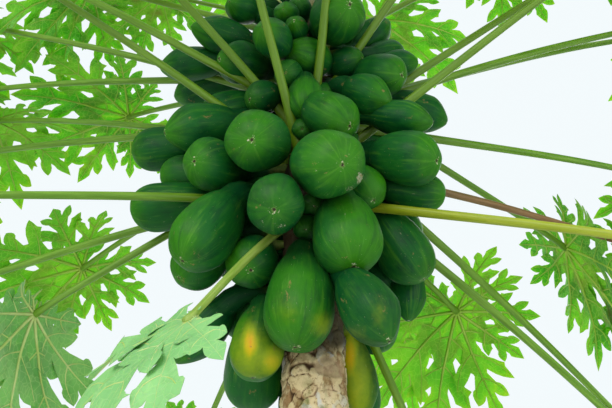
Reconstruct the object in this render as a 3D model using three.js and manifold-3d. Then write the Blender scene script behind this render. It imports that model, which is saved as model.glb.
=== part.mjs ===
// Papaya tree, whole, from the flat cut under its trunk to its youngest leaves.
// Millimetres, +Z up. The origin is the middle of the flat cut at ground level.
// Azimuth 0 looks to -Y, 90 to +X; elevation is up from level.
import * as THREE from 'three';
import * as BufferGeometryUtils from 'three/addons/utils/BufferGeometryUtils.js';
import Module from 'manifold-3d';

const wasm = await Module();
wasm.setup();

// ---- driving dimensions ---------------------------------------------------
const TRUNK_SIDES = 15;
const TRUNK_TIP_Z = 2950;          // growing tip of the trunk
const TRUNK_TIP_R = 14;
// radius of the trunk by height: root flare, bare stem, fruiting stem, tip
const TRUNK_PROFILE = [[0, 140], [50, 115], [150, 90], [400, 78], [1000, 66], [1860, 54.5],
  [2200, 50], [2500, 42], [2750, 31], [TRUNK_TIP_Z - 20, 16]];
const TRUNK_BOW = 18;              // sideways bow of the stem at mid height
const TRUNK_BOW_SPAN = 2600;
const FLARE_RIBS = 5;              // shallow buttresses of the foot
const FLARE_DEPTH = 0.10;

const PETIOLE_R0 = 11.5;           // leaf stalk at the trunk
const PETIOLE_R1 = 7.5;            // leaf stalk under the blade
const PETIOLE_SIDES = 4;
const PETIOLE_STEPS = 3;
const PETIOLE_SAG = 0.05;          // drop of the stalk's end as a share of its length
const BLADE_T = 4;                 // thickness of a blade's solid
const LOBE_MID = 0.64;             // where a lobe is widest, as a share of its length
const LOBE_HALF = 0.185;           // its half width there
const SMALL_LOBE = 0.6;            // lobes shorter than this are plain points
const SINUS = 0.30;                // depth of the cuts between lobes
const HUB_CUT = 3;                 // the cut from which the middle of a blade is fanned

const GAP = 1.0;                   // clearance between neighbouring solids
const SHORTEST = 2.2;              // shortest edge and
const THINNEST = 0.8;              // thinnest triangle left on a leaf

// lobes of a blade: angle from the far end, length as a share of the blade's radius
const LOBES = [[-141, 0.50], [-105, 0.70], [-69, 0.86], [-34, 0.96], [0, 1.0],
  [34, 0.96], [69, 0.86], [105, 0.70], [141, 0.50]];

// leaves from the lowest up: height of the stalk's foot, azimuth, elevation, stalk length,
// blade radius, pitch, yaw and roll of the blade, droop of its lobes
const LEAVES = [
  [2240, -160, -14, 850, 320, -46, 0, 0, 0.26],
  [2256, -30, -44.1, 484, 250, -27, -72, -45, 0.18],
  [2256, -72, -6.2, 760, 320, -41, 0, 0, 0.26],
  [2260, 98, -67.3, 580, 260, -75, 0, 0, 0.26],
  [2264, 66, -18.1, 820, 320, -48, 0, 0, 0.26],
  [2266, -20, 48.9, 740, 320, -11, 0, 0, 0.26],
  [2298, -104, -7.8, 953, 313, -50, 12, -25, 0.28],
  [2300, 138, -9.4, 509, 320, -46, 14, -28, 0.41],
  [2315, 70, 34, 853, 322, -21, -5, 10, 0.24],
  [2332, -74, 33.3, 870, 291, -16, 14, 4, 0.25],
  [2366, -96, -29, 586, 285, -76, -3, 10, 0.24],
  [2359, 112, -33, 930, 320, -56, 0, 0, 0.26],
  [2360, 162, 2, 850, 320, -37, 0, 0, 0.26],
  [2351, 106.7, -3.2, 741, 268, -68.5, -25.2, -5.3, 0.351],
  [2382, 12, 53.7, 784, 282, -3, 7, 11, 0.37],
  [2396, -54, 36.7, 793, 326, -10, 2, -1, 0.19],
  [2392, 89, 39.1, 930, 323, -1.4, -19.4, -1.8, 0.13],
  [2400, -113, 21.6, 930, 272, -8.2, -29, -19.4, 0.36],
  [2446, -130, -5.3, 723, 322, -41, 22, 18, 0.24],
  [2445, -102, 4.5, 887, 339, -28, 10, 21, 0.5],
  [2440, 123, -27.6, 1089, 296, -41, -8, 0, 0.28],
  [2451, 107, 3.9, 904, 292, -33, 3, 1, 0.29],
  [2455, 60, 49.1, 672, 272, -6, -5, -12, 0.27],
  [2452, 97, 25.5, 958, 302, -19, -32, -10, 0.15],
  [2468, -68, 19.5, 776, 292, -11, 12, -3, 0.33],
  [2471, 108, 28.6, 1119, 333, -25, -1, -15, 0.23],
  [2495, -104.9, 28.2, 1009, 321, -7.2, 3, -9, 0.235],
  [2500, -170, 22, 850, 320, -26, 0, 0, 0.26],
  [2545, 121, -12.5, 731, 298, -60, 12, 36, 0.09],
  [2550, -138, 25.6, 845, 320, -6, 35, 22, 0.2],
  [2563, -110, 15.1, 1024, 284, -19, -8, -8, 0.3],
  [2620, 95, 38.7, 600, 206, -8, 4, 1, 0.27],
  [2620, 158, 48, 850, 320, -12, 0, 0, 0.26],
  [2616, -93.9, 47.1, 523, 212, -1.6, -1, -11.1, 0.101],
  [2660, -112, 34.9, 738, 278, -31, 2, -11, 0.21],
  [2680, -20, 48.8, 420, 200, -11, 0, 0, 0.26],
  [2680, -158, 60, 850, 320, -5, 0, 0, 0.26],
  [2700, -125, 39.5, 613, 189, -15, 7, 9, 0.14],
];

// fruit that shape the six fruit masses: azimuth and height of the widest part, its distance
// from the trunk's axis, radius, length to the neck, length to the tip, elevation and azimuth
// of the way it points
const FRUIT = [
  [-29, 2292, 189, 57, 98, 62, -33, -9], [8, 2213, 216, 59, 110, 67, -33, 22], [-17, 2146, 204, 49, 90, 55, -40, -1],
  [-58, 2124, 222, 55, 116, 64, -59, -62], [23, 2102, 159, 56, 115, 62, -71, 20], [-12, 1987, 115, 60, 128, 66, -82, -33],
  [29, 1960, 190, 48, 109, 64, -59, 45], [105, 2175, 192, 45, 94, 52, -42, 98], [81, 2200, 182, 42, 79, 46, -67, 85],
  [111, 2078, 195, 39, 84, 43, -17, 160], [57, 2285, 218, 49, 92, 59, -25, 55], [54, 2201, 237, 41, 88, 45, -3, 81],
  [47, 2238, 135, 38, 62, 42, -58, 44], [62, 2387, 211, 37, 83, 55, -20, 74], [93, 2480, 247, 39, 99, 50, -12, 109],
  [30, 2394, 108, 39, 70, 47, -53, 24], [53, 2458, 152, 33, 57, 43, -45, 62], [66, 2515, 176, 39, 77, 51, -29, 46],
  [90, 2628, 180, 33, 69, 43, 23, 118], [78, 2575, 209, 29, 68, 37, 1, 79], [90, 2690, 154, 34, 72, 44, 43, 78],
  [31, 2634, 132, 50, 79, 65, -18, 21], [8, 2560, 80, 36, 54, 47, -9, -56], [0, 2410, 144, 37, 59, 44, -56, -2],
  [-27, 2559, 151, 39, 64, 51, -15, -20], [-24, 2663, 97, 26, 43, 33, -26, -13], [-77, 2648, 191, 38, 87, 61, 0, -67],
  [-73, 2574, 147, 40, 85, 52, -24, -37], [-93, 2612, 263, 39, 110, 55, -4, -96], [-117, 2630, 277, 42, 127, 63, 0, -115],
  [-70, 2377, 237, 46, 110, 60, -25, -67], [-94, 2399, 304, 46, 126, 55, -3, -98], [-90, 2325, 245, 40, 100, 48, 4, -98],
  [-61, 2284, 204, 50, 98, 57, -21, -32], [-86, 2241, 285, 47, 128, 56, -4, -93], [-85, 2124, 207, 48, 94, 53, -48, -63],
  [-60, 2105, 122, 47, 80, 53, -42, 0], [-67, 1948, 105, 47, 98, 54, -80, -32], [-131, 1944, 145, 55, 121, 61, -46, -173],
  [-105, 2015, 212, 42, 86, 76, -37, -124], [157, 1938, 200, 52, 132, 58, -44, 173], [-68, 2711, 147, 34, 60, 45, -20, -34],
  [-11, 2614, 102, 25, 42, 33, -14, -6], [138, 1871, 126, 55, 109, 61, -63, 165], [-174, 1908, 122, 52, 103, 59, -67, -160],
  [120, 2009, 143, 48, 95, 55, -60, 112], [-171, 2020, 169, 51, 100, 59, -44, -179], [-129, 2078, 147, 57, 108, 65, -50, -121],
  [154, 2075, 165, 53, 100, 61, -38, 142], [-170, 2145, 170, 54, 102, 63, -38, -173], [138, 2186, 135, 48, 89, 55, -42, 123],
  [-119, 2196, 164, 50, 93, 58, -33, -107], [171, 2247, 172, 49, 91, 57, -29, 173], [-153, 2254, 183, 52, 95, 61, -28, -154],
  [133, 2278, 173, 50, 91, 59, -29, 126], [-175, 2340, 174, 47, 85, 56, -20, -180], [94, 2323, 169, 52, 93, 63, -20, 99],
  [-123, 2331, 158, 52, 92, 63, -27, -127], [152, 2374, 158, 46, 81, 56, -21, 153], [-149, 2414, 146, 45, 78, 55, -26, -144],
  [127, 2453, 164, 50, 87, 62, -12, 118], [-91, 2475, 164, 47, 81, 58, -18, -90], [176, 2470, 150, 48, 82, 60, -18, 179],
  [-135, 2519, 143, 43, 73, 55, -8, -135], [140, 2546, 147, 45, 76, 59, -6, 131], [-169, 2583, 143, 44, 74, 59, -3, -170],
  [113, 2608, 137, 43, 71, 58, -8, 106], [-116, 2636, 133, 41, 68, 56, -3, -110], [166, 2654, 132, 41, 68, 56, 8, 172],
  [-152, 2690, 128, 39, 64, 55, 10, -155], [127, 2715, 123, 37, 60, 53, 13, 126], [-174, 2746, 116, 34, 55, 49, 10, -169],
];
// young fruit and flower buds in the axils below the tip, along the same spiral
const YOUNG = { count: 16, z0: 2735, z1: 2890, r0: 31, r1: 17, turn: 137.508, start: 63 };

// tiers of the fruit column, each split into a front and a back mass
const TIERS = [['lower', 1800, 2140], ['middle', 2140, 2420], ['upper', 2420, 2860]];
const MASS_AZ_STEPS = 10;          // over the half turn of one mass
const MASS_DZ = 62;
const FIN = 1.08;
const ROOM = 2.5 * GAP;             // room left where a stalk meets a mass
const MASS_SKIN = 6;               // the masses stand this far proud of the fruit

// ---- helpers ----------------------------------------------------------------
const rad = (d) => d * Math.PI / 180;
const V = (x, y, z) => new THREE.Vector3(x, y, z);
const dir = (az, el) => V(Math.sin(rad(az)) * Math.cos(rad(el)), -Math.cos(rad(az)) * Math.cos(rad(el)), Math.sin(rad(el)));

function trunkR(z) {
  const p = TRUNK_PROFILE;
  if (z <= 0) return p[0][1];
  for (let i = 1; i < p.length; i++) {
    if (z <= p[i][0]) {
      const t = (z - p[i - 1][0]) / (p[i][0] - p[i - 1][0]);
      return p[i - 1][1] + t * (p[i][1] - p[i - 1][1]);
    }
  }
  return TRUNK_TIP_R;
}
const trunkAxis = (z) => V(TRUNK_BOW * Math.sin(Math.PI * z / TRUNK_BOW_SPAN), 0, z);

// closed solid from vertices and triangles, as a boolean operand
function solid(verts, tris) {
  return new wasm.Manifold(new wasm.Mesh({
    numProp: 3, vertProperties: new Float32Array(verts.flatMap((v) => [v.x, v.y, v.z])), triVerts: new Uint32Array(tris.flat()),
  }));
}
function toGeometry(m) {
  const g = new THREE.BufferGeometry();
  const mesh = m.getMesh();
  const n = mesh.numProp;
  const pos = new Float32Array(mesh.vertProperties.length / n * 3);
  for (let i = 0; i < pos.length / 3; i++) for (let k = 0; k < 3; k++) pos[i * 3 + k] = mesh.vertProperties[i * n + k];
  g.setAttribute('position', new THREE.BufferAttribute(pos, 3));
  g.setIndex(new THREE.BufferAttribute(new Uint32Array(mesh.triVerts), 1));
  g.computeVertexNormals();
  return g;
}
// the largest body of a cut solid
function largest(m) {
  const parts = m.decompose();
  let best = parts[0];
  for (const p of parts) if (p.volume() > best.volume()) best = p;
  return best;
}
// the joins leave short edges and slivers: short edges are drawn together and slivers turned,
// the solid staying closed
function tidy(m) {
  const mesh = m.getMesh(), n = mesh.numProp, P = [], index = mesh.triVerts;
  for (let i = 0; i < mesh.vertProperties.length / n; i++) P.push(V(...mesh.vertProperties.slice(i * n, i * n + 3)));
  let T = Array.from({ length: index.length / 3 }, (_, i) => [index[3 * i], index[3 * i + 1], index[3 * i + 2]]);
  const cross = ([a, b, c]) => P[b].clone().sub(P[a]).cross(P[c].clone().sub(P[a]));
  const height = (t) => cross(t).length() / Math.max(...t.map((a, i) => P[a].distanceTo(P[t[(i + 1) % 3]])));
  const same = (u, w, least) => u.dot(w) > least * u.length() * w.length();
  const around = (a) => new Set(T.filter((t) => t.includes(a)).flat().filter((b) => b !== a));
  const collapse = (a, b) => {
    const shared = [...around(a)].filter((v) => around(b).has(v));
    if (shared.length !== 2) return false;
    const moved = T.filter((t) => t.includes(a) && !t.includes(b));
    for (const t of moved) {
      const u = t.map((v) => (v === a ? b : v));
      if (height(t) > THINNEST && (!same(cross(t), cross(u), 0.3) || height(u) < 0.5 * THINNEST)) return false;
    }
    T = T.filter((t) => !(t.includes(a) && t.includes(b))).map((t) => t.map((v) => (v === a ? b : v)));
    return true;
  };
  const turn = (t) => {
    // the sliver's longest edge goes to the point across it
    const k = [0, 1, 2].sort((i, j) => P[t[j]].distanceTo(P[t[(j + 1) % 3]]) - P[t[i]].distanceTo(P[t[(i + 1) % 3]]))[0];
    const a = t[k], b = t[(k + 1) % 3], c = t[(k + 2) % 3];
    const other = T.find((q) => q !== t && q.includes(a) && q.includes(b));
    const d = other.find((v) => v !== a && v !== b), one = [a, d, c], two = [d, b, c];
    if (around(c).has(d) || !same(cross(one), cross(other), 0.6) || !same(cross(two), cross(other), 0.6)) return false;
    if (Math.min(height(one), height(two)) <= height(t)) return false;
    T = T.filter((q) => q !== t && q !== other).concat([one, two]);
    return true;
  };
  for (let round = 0, changed = true; changed && round < 400; round++) {
    changed = false;
    const edges = T.flatMap((t) => t.map((a, i) => [a, t[(i + 1) % 3]])).filter(([a, b]) => a < b)
      .map(([a, b]) => [P[a].distanceTo(P[b]), a, b]).filter(([l]) => l < SHORTEST).sort((u, w) => u[0] - w[0]);
    for (const [, a, b] of edges) if (collapse(a, b) || collapse(b, a)) { changed = true; break; }
    if (changed) continue;
    for (const t of T.filter((q) => height(q) < THINNEST)) if (turn(t)) { changed = true; break; }
    if (changed) continue;
    // a sliver that can't be turned loses its shortest edge
    for (const t of T.filter((q) => height(q) < THINNEST)) {
      const [i] = [0, 1, 2].sort((u, w) => P[t[u]].distanceTo(P[t[(u + 1) % 3]]) - P[t[w]].distanceTo(P[t[(w + 1) % 3]]));
      const a = t[i], b = t[(i + 1) % 3];
      if (P[a].distanceTo(P[b]) < 12 && (collapse(a, b) || collapse(b, a))) { changed = true; break; }
    }
  }
  const used = [...new Set(T.flat())], at = new Map(used.map((v, i) => [v, i]));
  return solid(used.map((v) => P[v]), T.map((t) => t.map((v) => at.get(v))));
}
// rings of equal count joined into a closed tube with fan ends
function loft(rings) {
  const n = rings[0].length, verts = rings.flat(), tris = [];
  for (let i = 0; i + 1 < rings.length; i++) {
    for (let j = 0; j < n; j++) {
      const a = i * n + j, b = i * n + (j + 1) % n, c = a + n, d = b + n;
      tris.push([a, b, d], [a, d, c]);
    }
  }
  const mid = (r) => r.reduce((s, v) => s.add(v), V(0, 0, 0)).multiplyScalar(1 / n);
  verts.push(mid(rings[0]), mid(rings[rings.length - 1]));
  const lo = verts.length - 2, hi = verts.length - 1, base = (rings.length - 1) * n;
  for (let j = 0; j < n; j++) {
    tris.push([lo, (j + 1) % n, j]);
    tris.push([hi, base + j, base + (j + 1) % n]);
  }
  return solid(verts, tris);
}

// ---- trunk ------------------------------------------------------------------
function trunkSolid() {
  const zs = [0, 50, 150, 260, 400, 1000, 1860, 2200, 2500, 2750, TRUNK_TIP_Z - 20, TRUNK_TIP_Z];
  const rings = zs.map((z) => {
    const c = trunkAxis(z), r = z >= TRUNK_TIP_Z ? TRUNK_TIP_R * 0.55 : trunkR(z);
    const flare = Math.max(0, 1 - z / 400);
    return Array.from({ length: TRUNK_SIDES }, (_, j) => {
      const a = 2 * Math.PI * j / TRUNK_SIDES;
      const k = 1 + FLARE_DEPTH * flare * flare * Math.cos(FLARE_RIBS * a);
      return V(c.x + r * k * Math.cos(a), c.y + r * k * Math.sin(a), z);
    });
  });
  return loft(rings);
}

// ---- leaves -----------------------------------------------------------------
function petioleLine([z, az, el, len], from, steps) {
  const foot = trunkAxis(z), d = dir(az, el);
  return Array.from({ length: steps + 1 }, (_, i) => {
    const s = from + (len - from) * i / steps;
    return foot.clone().addScaledVector(d, s).add(V(0, 0, -PETIOLE_SAG * len * (s / len) ** 2.6));
  });
}
function tubeAlong(line, r0, r1, sides) {
  const rings = line.map((p, i) => {
    const t = line[Math.min(i + 1, line.length - 1)].clone().sub(line[Math.max(i - 1, 0)]).normalize();
    const e1 = V(0, 0, 1).cross(t).normalize(), e2 = t.clone().cross(e1);
    const r = r0 + (r1 - r0) * i / (line.length - 1);
    return Array.from({ length: sides }, (_, j) => {
      const a = 2 * Math.PI * (j + 0.5) / sides;
      return p.clone().addScaledVector(e1, r * Math.cos(a)).addScaledVector(e2, r * Math.sin(a));
    });
  });
  return loft(rings);
}
function petioleStart([z, , el]) {
  // where the stalk's whole section is clear of the trunk
  return (trunkR(z) + PETIOLE_R0 * Math.abs(Math.sin(rad(el))) + GAP * (1 + 8 * Math.max(0, -Math.sin(rad(el))))) / Math.cos(rad(el));
}
function bladeFrame(az, pitch, yaw, roll) {
  const X = dir(az + yaw, pitch), Y0 = V(0, 0, 1).cross(X).normalize(), Z0 = X.clone().cross(Y0);
  const Y = Y0.multiplyScalar(Math.cos(rad(roll))).addScaledVector(Z0, Math.sin(rad(roll)));
  return [X, Y, X.clone().cross(Y)];
}
// lobed outline of a blade in its own plane, far end along x, counter-clockwise
function bladeOutline(R) {
  const pts = [], lobes = [];
  LOBES.forEach(([th, L], i) => {
    const a = rad(th), l = L * R, full = L > SMALL_LOBE;
    lobes.push([pts.length, full]);
    for (const [t, o] of full ? [[LOBE_MID, -LOBE_HALF], [1, 0], [LOBE_MID, LOBE_HALF]] : [[1, 0]]) {
      pts.push([l * (t * Math.cos(a) - o * Math.sin(a)), l * (t * Math.sin(a) + o * Math.cos(a))]);
    }
    if (i + 1 < LOBES.length) {
      const m = rad((th + LOBES[i + 1][0]) / 2), s = SINUS * R * Math.min(L, LOBES[i + 1][1]);
      pts.push([s * Math.cos(m), s * Math.sin(m)]);
    } else pts.push([-0.05 * R, 0]);
  });
  return [pts, lobes];
}
function bladeSolid(leaf, at) {
  const [, az, , , R, pitch, yaw, roll, droop] = leaf;
  const [X, Y, Z] = bladeFrame(az, pitch, yaw, roll), [out, lobes] = bladeOutline(R), n = out.length;
  const lift = (x, y) => -droop * (x * x + y * y) / R;
  const put = ([x, y], h) => at.clone().addScaledVector(X, x).addScaledVector(Y, y).addScaledVector(Z, lift(x, y) + h);
  const verts = [...out.map((p) => put(p, BLADE_T / 2)), ...out.map((p) => put(p, -BLADE_T / 2))], tris = [];
  const both = (i, j, k) => tris.push([i, j, k], [n + k, n + j, n + i]);
  // every lobe on its own, then the middle of the blade over the cuts between them
  const cuts = [];
  for (const [l, full] of lobes) {
    const prev = (l + n - 1) % n;
    if (full) {
      both(l, l + 1, l + 2);
      both(prev, l, l + 2);
      both(prev, l + 2, l + 3);
      cuts.push(l + 3);
    } else {
      both(prev, l, l + 1);
      cuts.push(l + 1);
    }
  }
  const c = (k) => cuts[(HUB_CUT + k) % cuts.length];
  for (let k = 1; k + 1 < cuts.length; k++) both(c(0), c(k), c(k + 1));
  for (let i = 0; i < n; i++) {
    const j = (i + 1) % n;
    tris.push([i, n + i, n + j], [i, n + j, j]);
  }
  return solid(verts, tris);
}
function leafSolid(leaf) {
  const line = petioleLine(leaf, petioleStart(leaf), PETIOLE_STEPS);
  const stalk = tubeAlong(line, PETIOLE_R0, PETIOLE_R1, PETIOLE_SIDES);
  return largest(stalk.add(bladeSolid(leaf, line[line.length - 1])));
}

// ---- youngest leaves: one uneven mass over the tip ---------------------------
function tipSolid() {
  const z0 = TRUNK_TIP_Z + GAP, c = trunkAxis(TRUNK_TIP_Z);
  const rows = [[0, 10], [60, 26], [150, 66], [245, 118], [330, 104], [400, 46], [440, 10]];
  const sides = 10;
  return loft(rows.map(([h, r], i) => Array.from({ length: sides }, (_, j) => {
    const a = 2 * Math.PI * j / sides, k = 1 + 0.26 * Math.sin(i / 6 * Math.PI) * Math.cos(5 * a + i * 0.5);
    return V(c.x + r * k * Math.cos(a), c.y + r * k * Math.sin(a), z0 + h);
  })));
}

// ---- fruit masses -------------------------------------------------------------
// every fruit as a short row of balls
const BALLS = [];
for (const [az, z, rho, r, ln, lt, el, da] of FRUIT) {
  const c = trunkAxis(z).add(dir(az, 0).multiplyScalar(rho)), d = dir(da, el);
  for (const [s, k] of [[0.45 * lt, 0.72], [0, 1], [-0.4 * ln, 0.92], [-0.75 * ln, 0.62]]) BALLS.push([c.clone().addScaledVector(d, s), r * k + MASS_SKIN]);
}
for (let k = 0; k < YOUNG.count; k++) {
  const t = k / (YOUNG.count - 1), z = YOUNG.z0 + (YOUNG.z1 - YOUNG.z0) * t, r = YOUNG.r0 + (YOUNG.r1 - YOUNG.r0) * t;
  const az = (k * YOUNG.turn + YOUNG.start) % 360;
  BALLS.push([trunkAxis(z).add(dir(az, 0).multiplyScalar(trunkR(z) + 12)).addScaledVector(dir(az, 18 + 30 * t), 1.6 * r), r * 1.15]);
}
// how far the fruit reach from the trunk's axis along a level ray
function reach(az, z) {
  const o = trunkAxis(z), d = dir(az, 0);
  let best = 0;
  for (const [c, r] of BALLS) {
    const w = c.clone().sub(o), along = w.dot(d), off2 = w.lengthSq() - along * along;
    if (off2 < r * r) best = Math.max(best, along + Math.sqrt(r * r - off2));
  }
  return best;
}
function softReach(az, z) {
  // the furthest reach close by, so that the mass covers the fruit between its grid points
  let best = 0, sum = 0, n = 0;
  for (const da of [-6, 0, 6]) for (const dz of [-18, 0, 18]) { const q = reach(az + da, z + dz); best = Math.max(best, q); sum += q; n++; }
  return 0.65 * best + 0.35 * sum / n;
}
function massSolid(z0, z1, azMid) {
  const lo = z0 + GAP / 2, hi = z1 - GAP / 2, nz = Math.max(2, Math.round((hi - lo) / MASS_DZ));
  const nA = MASS_AZ_STEPS, outer = [], inner = [];
  for (let i = 0; i <= nz; i++) {
    const z = lo + (hi - lo) * i / nz, o = [], q = [];
    const az = (j) => azMid + 89.6 * (2 * j / nA - 1), rin = trunkR(z) + 2 * GAP;
    const rs = Array.from({ length: nA + 1 }, (_, j) => Math.max(rin + 14, softReach(az(j), z)));
    // no thin fins along the parting plane
    rs[0] = Math.min(rs[0], FIN * rs[1]);
    rs[nA] = Math.min(rs[nA], FIN * rs[nA - 1]);
    for (let j = 0; j <= nA; j++) {
      const c = trunkAxis(z), d = dir(az(j), 0);
      o.push(c.clone().addScaledVector(d, rs[j]));
      q.push(c.clone().addScaledVector(d, rin));
    }
    // straight-cut ends that stay on their own side of the parting plane
    const side = Math.cos(rad(azMid)) > 0 ? -1 : 1;
    for (const row of [o, q]) for (const v of [row[0], row[nA]]) v.y = side * GAP;
    outer.push(o); inner.push(q);
  }
  const W = nA + 1, verts = [...outer.flat(), ...inner.flat()], off = (nz + 1) * W, tris = [];
  const O = (i, j) => i * W + j, I = (i, j) => off + i * W + j;
  const quad = (a, b, c, d) => tris.push([a, b, c], [a, c, d]);
  for (let i = 0; i < nz; i++) {
    for (let j = 0; j < nA; j++) { quad(O(i, j), O(i, j + 1), O(i + 1, j + 1), O(i + 1, j)); quad(I(i, j + 1), I(i, j), I(i + 1, j), I(i + 1, j + 1)); }
    quad(I(i, 0), O(i, 0), O(i + 1, 0), I(i + 1, 0));
    quad(O(i, nA), I(i, nA), I(i + 1, nA), O(i + 1, nA));
  }
  for (let j = 0; j < nA; j++) {
    quad(I(0, j), I(0, j + 1), O(0, j + 1), O(0, j));
    quad(O(nz, j), O(nz, j + 1), I(nz, j + 1), I(nz, j));
  }
  return solid(verts, tris);
}

// ---- assembly -------------------------------------------------------------------
const tree = new THREE.Group();
function put(name, m, color, roughness) {
  const mesh = new THREE.Mesh(toGeometry(m), new THREE.MeshStandardMaterial({ color, roughness, metalness: 0 }));
  mesh.name = name;
  tree.add(mesh);
}
const masses = [];
for (const [name, z0, z1] of TIERS) {
  for (const [half, azMid] of [['front', 0], ['back', 180]]) masses.push([`fruit_${name}_${half}`, massSolid(z0, z1, azMid)]);
}
// a stalk ends where it enters the fruit, with a little room left round it
const shifts = [[0, 0, 0]];
for (const d of [0.4 * ROOM, ROOM]) {
  shifts.push([0, 0, d], [0, 0, -d]);
  for (let k = 0; k < 8; k++) shifts.push([d * Math.cos(k * Math.PI / 4), d * Math.sin(k * Math.PI / 4), 0]);
}
const room = wasm.Manifold.union(masses.flatMap(([, m]) => shifts.map((v) => m.translate(v))));
const freeLeaf = (leaf) => tidy(largest(leafSolid(leaf).subtract(room)));

put('trunk', trunkSolid(), 0xa08a6c, 0.9);
LEAVES.forEach((leaf, i) => put(`leaf_${String(i + 1).padStart(2, '0')}`, freeLeaf(leaf), 0x6d9a3c, 0.6));
put('crown_tip', tipSolid(), 0x8ab54a, 0.6);
for (const [name, m] of masses) put(name, m, 0x2f6b35, 0.5);

export default tree;
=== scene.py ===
# Papaya tree: bark, leaf stalks, lobed leaves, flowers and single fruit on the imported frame.
# Metres, +Z up. Azimuth 0 looks to -Y, 90 to +X; elevation is up from level.
import math

import bpy
import numpy as np
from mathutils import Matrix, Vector
from mathutils.geometry import delaunay_2d_cdt


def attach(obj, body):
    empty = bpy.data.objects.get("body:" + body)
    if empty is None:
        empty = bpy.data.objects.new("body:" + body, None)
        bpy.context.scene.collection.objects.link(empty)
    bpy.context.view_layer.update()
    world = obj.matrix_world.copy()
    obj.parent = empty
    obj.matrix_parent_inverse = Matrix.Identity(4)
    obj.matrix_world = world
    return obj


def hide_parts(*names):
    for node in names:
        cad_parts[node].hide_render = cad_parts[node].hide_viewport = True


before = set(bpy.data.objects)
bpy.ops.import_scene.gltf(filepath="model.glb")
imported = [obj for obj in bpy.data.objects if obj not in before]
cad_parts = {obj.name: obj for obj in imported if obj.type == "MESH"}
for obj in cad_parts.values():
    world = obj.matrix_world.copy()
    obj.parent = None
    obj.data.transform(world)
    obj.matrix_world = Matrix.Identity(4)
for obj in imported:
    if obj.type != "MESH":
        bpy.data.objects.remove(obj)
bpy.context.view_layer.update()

# ---- named sizes, the same as the solids' (the tables are in millimetres) -----------------
TRUNK_TIP_Z = 2.950
TRUNK_Z = [0, .05, .15, .40, 1.0, 1.86, 2.20, 2.50, 2.75, 2.93, 2.95]
TRUNK_R = [.140, .115, .090, .078, .066, .0545, .050, .042, .031, .016, .0077]
BOW, BOW_SPAN = .018, 2.6
PETIOLE_R0, PETIOLE_R1, SAG = .0115, .0075, .05

# height of the stalk's foot, azimuth, elevation, stalk length, blade radius, pitch, yaw and
# roll of the blade, droop of its lobes
LEAVES = [
    [2240, -160, -14, 850, 320, -46, 0, 0, 0.26],
    [2256, -30, -44.1, 484, 250, -27, -72, -45, 0.18],
    [2256, -72, -6.2, 760, 320, -41, 0, 0, 0.26],
    [2260, 98, -67.3, 580, 260, -75, 0, 0, 0.26],
    [2264, 66, -18.1, 820, 320, -48, 0, 0, 0.26],
    [2266, -20, 48.9, 740, 320, -11, 0, 0, 0.26],
    [2298, -104, -7.8, 953, 313, -50, 12, -25, 0.28],
    [2300, 138, -9.4, 509, 320, -46, 14, -28, 0.41],
    [2315, 70, 34, 853, 322, -21, -5, 10, 0.24],
    [2332, -74, 33.3, 870, 291, -16, 14, 4, 0.25],
    [2366, -96, -29, 586, 285, -76, -3, 10, 0.24],
    [2359, 112, -33, 930, 320, -56, 0, 0, 0.26],
    [2360, 162, 2, 850, 320, -37, 0, 0, 0.26],
    [2351, 106.7, -3.2, 741, 268, -68.5, -25.2, -5.3, 0.351],
    [2382, 12, 53.7, 784, 282, -3, 7, 11, 0.37],
    [2396, -54, 36.7, 793, 326, -10, 2, -1, 0.19],
    [2392, 89, 39.1, 930, 323, -1.4, -19.4, -1.8, 0.13],
    [2400, -113, 21.6, 930, 272, -8.2, -29, -19.4, 0.36],
    [2446, -130, -5.3, 723, 322, -41, 22, 18, 0.24],
    [2445, -102, 4.5, 887, 339, -28, 10, 21, 0.5],
    [2440, 123, -27.6, 1089, 296, -41, -8, 0, 0.28],
    [2451, 107, 3.9, 904, 292, -33, 3, 1, 0.29],
    [2455, 60, 49.1, 672, 272, -6, -5, -12, 0.27],
    [2452, 97, 25.5, 958, 302, -19, -32, -10, 0.15],
    [2468, -68, 19.5, 776, 292, -11, 12, -3, 0.33],
    [2471, 108, 28.6, 1119, 333, -25, -1, -15, 0.23],
    [2495, -104.9, 28.2, 1009, 321, -7.2, 3, -9, 0.235],
    [2500, -170, 22, 850, 320, -26, 0, 0, 0.26],
    [2545, 121, -12.5, 731, 298, -60, 12, 36, 0.09],
    [2550, -138, 25.6, 845, 320, -6, 35, 22, 0.2],
    [2563, -110, 15.1, 1024, 284, -19, -8, -8, 0.3],
    [2620, 95, 38.7, 600, 206, -8, 4, 1, 0.27],
    [2620, 158, 48, 850, 320, -12, 0, 0, 0.26],
    [2616, -93.9, 47.1, 523, 212, -1.6, -1, -11.1, 0.101],
    [2660, -112, 34.9, 738, 278, -31, 2, -11, 0.21],
    [2680, -20, 48.8, 420, 200, -11, 0, 0, 0.26],
    [2680, -158, 60, 850, 320, -5, 0, 0, 0.26],
    [2700, -125, 39.5, 613, 189, -15, 7, 9, 0.14],
]
PALE = {2, 11}            # leaves whose upper side faces the viewer, painted pale green, partly painted sheen of the sky
DRY_STALK, YELLOW_STALK = {14}, {5}

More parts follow.
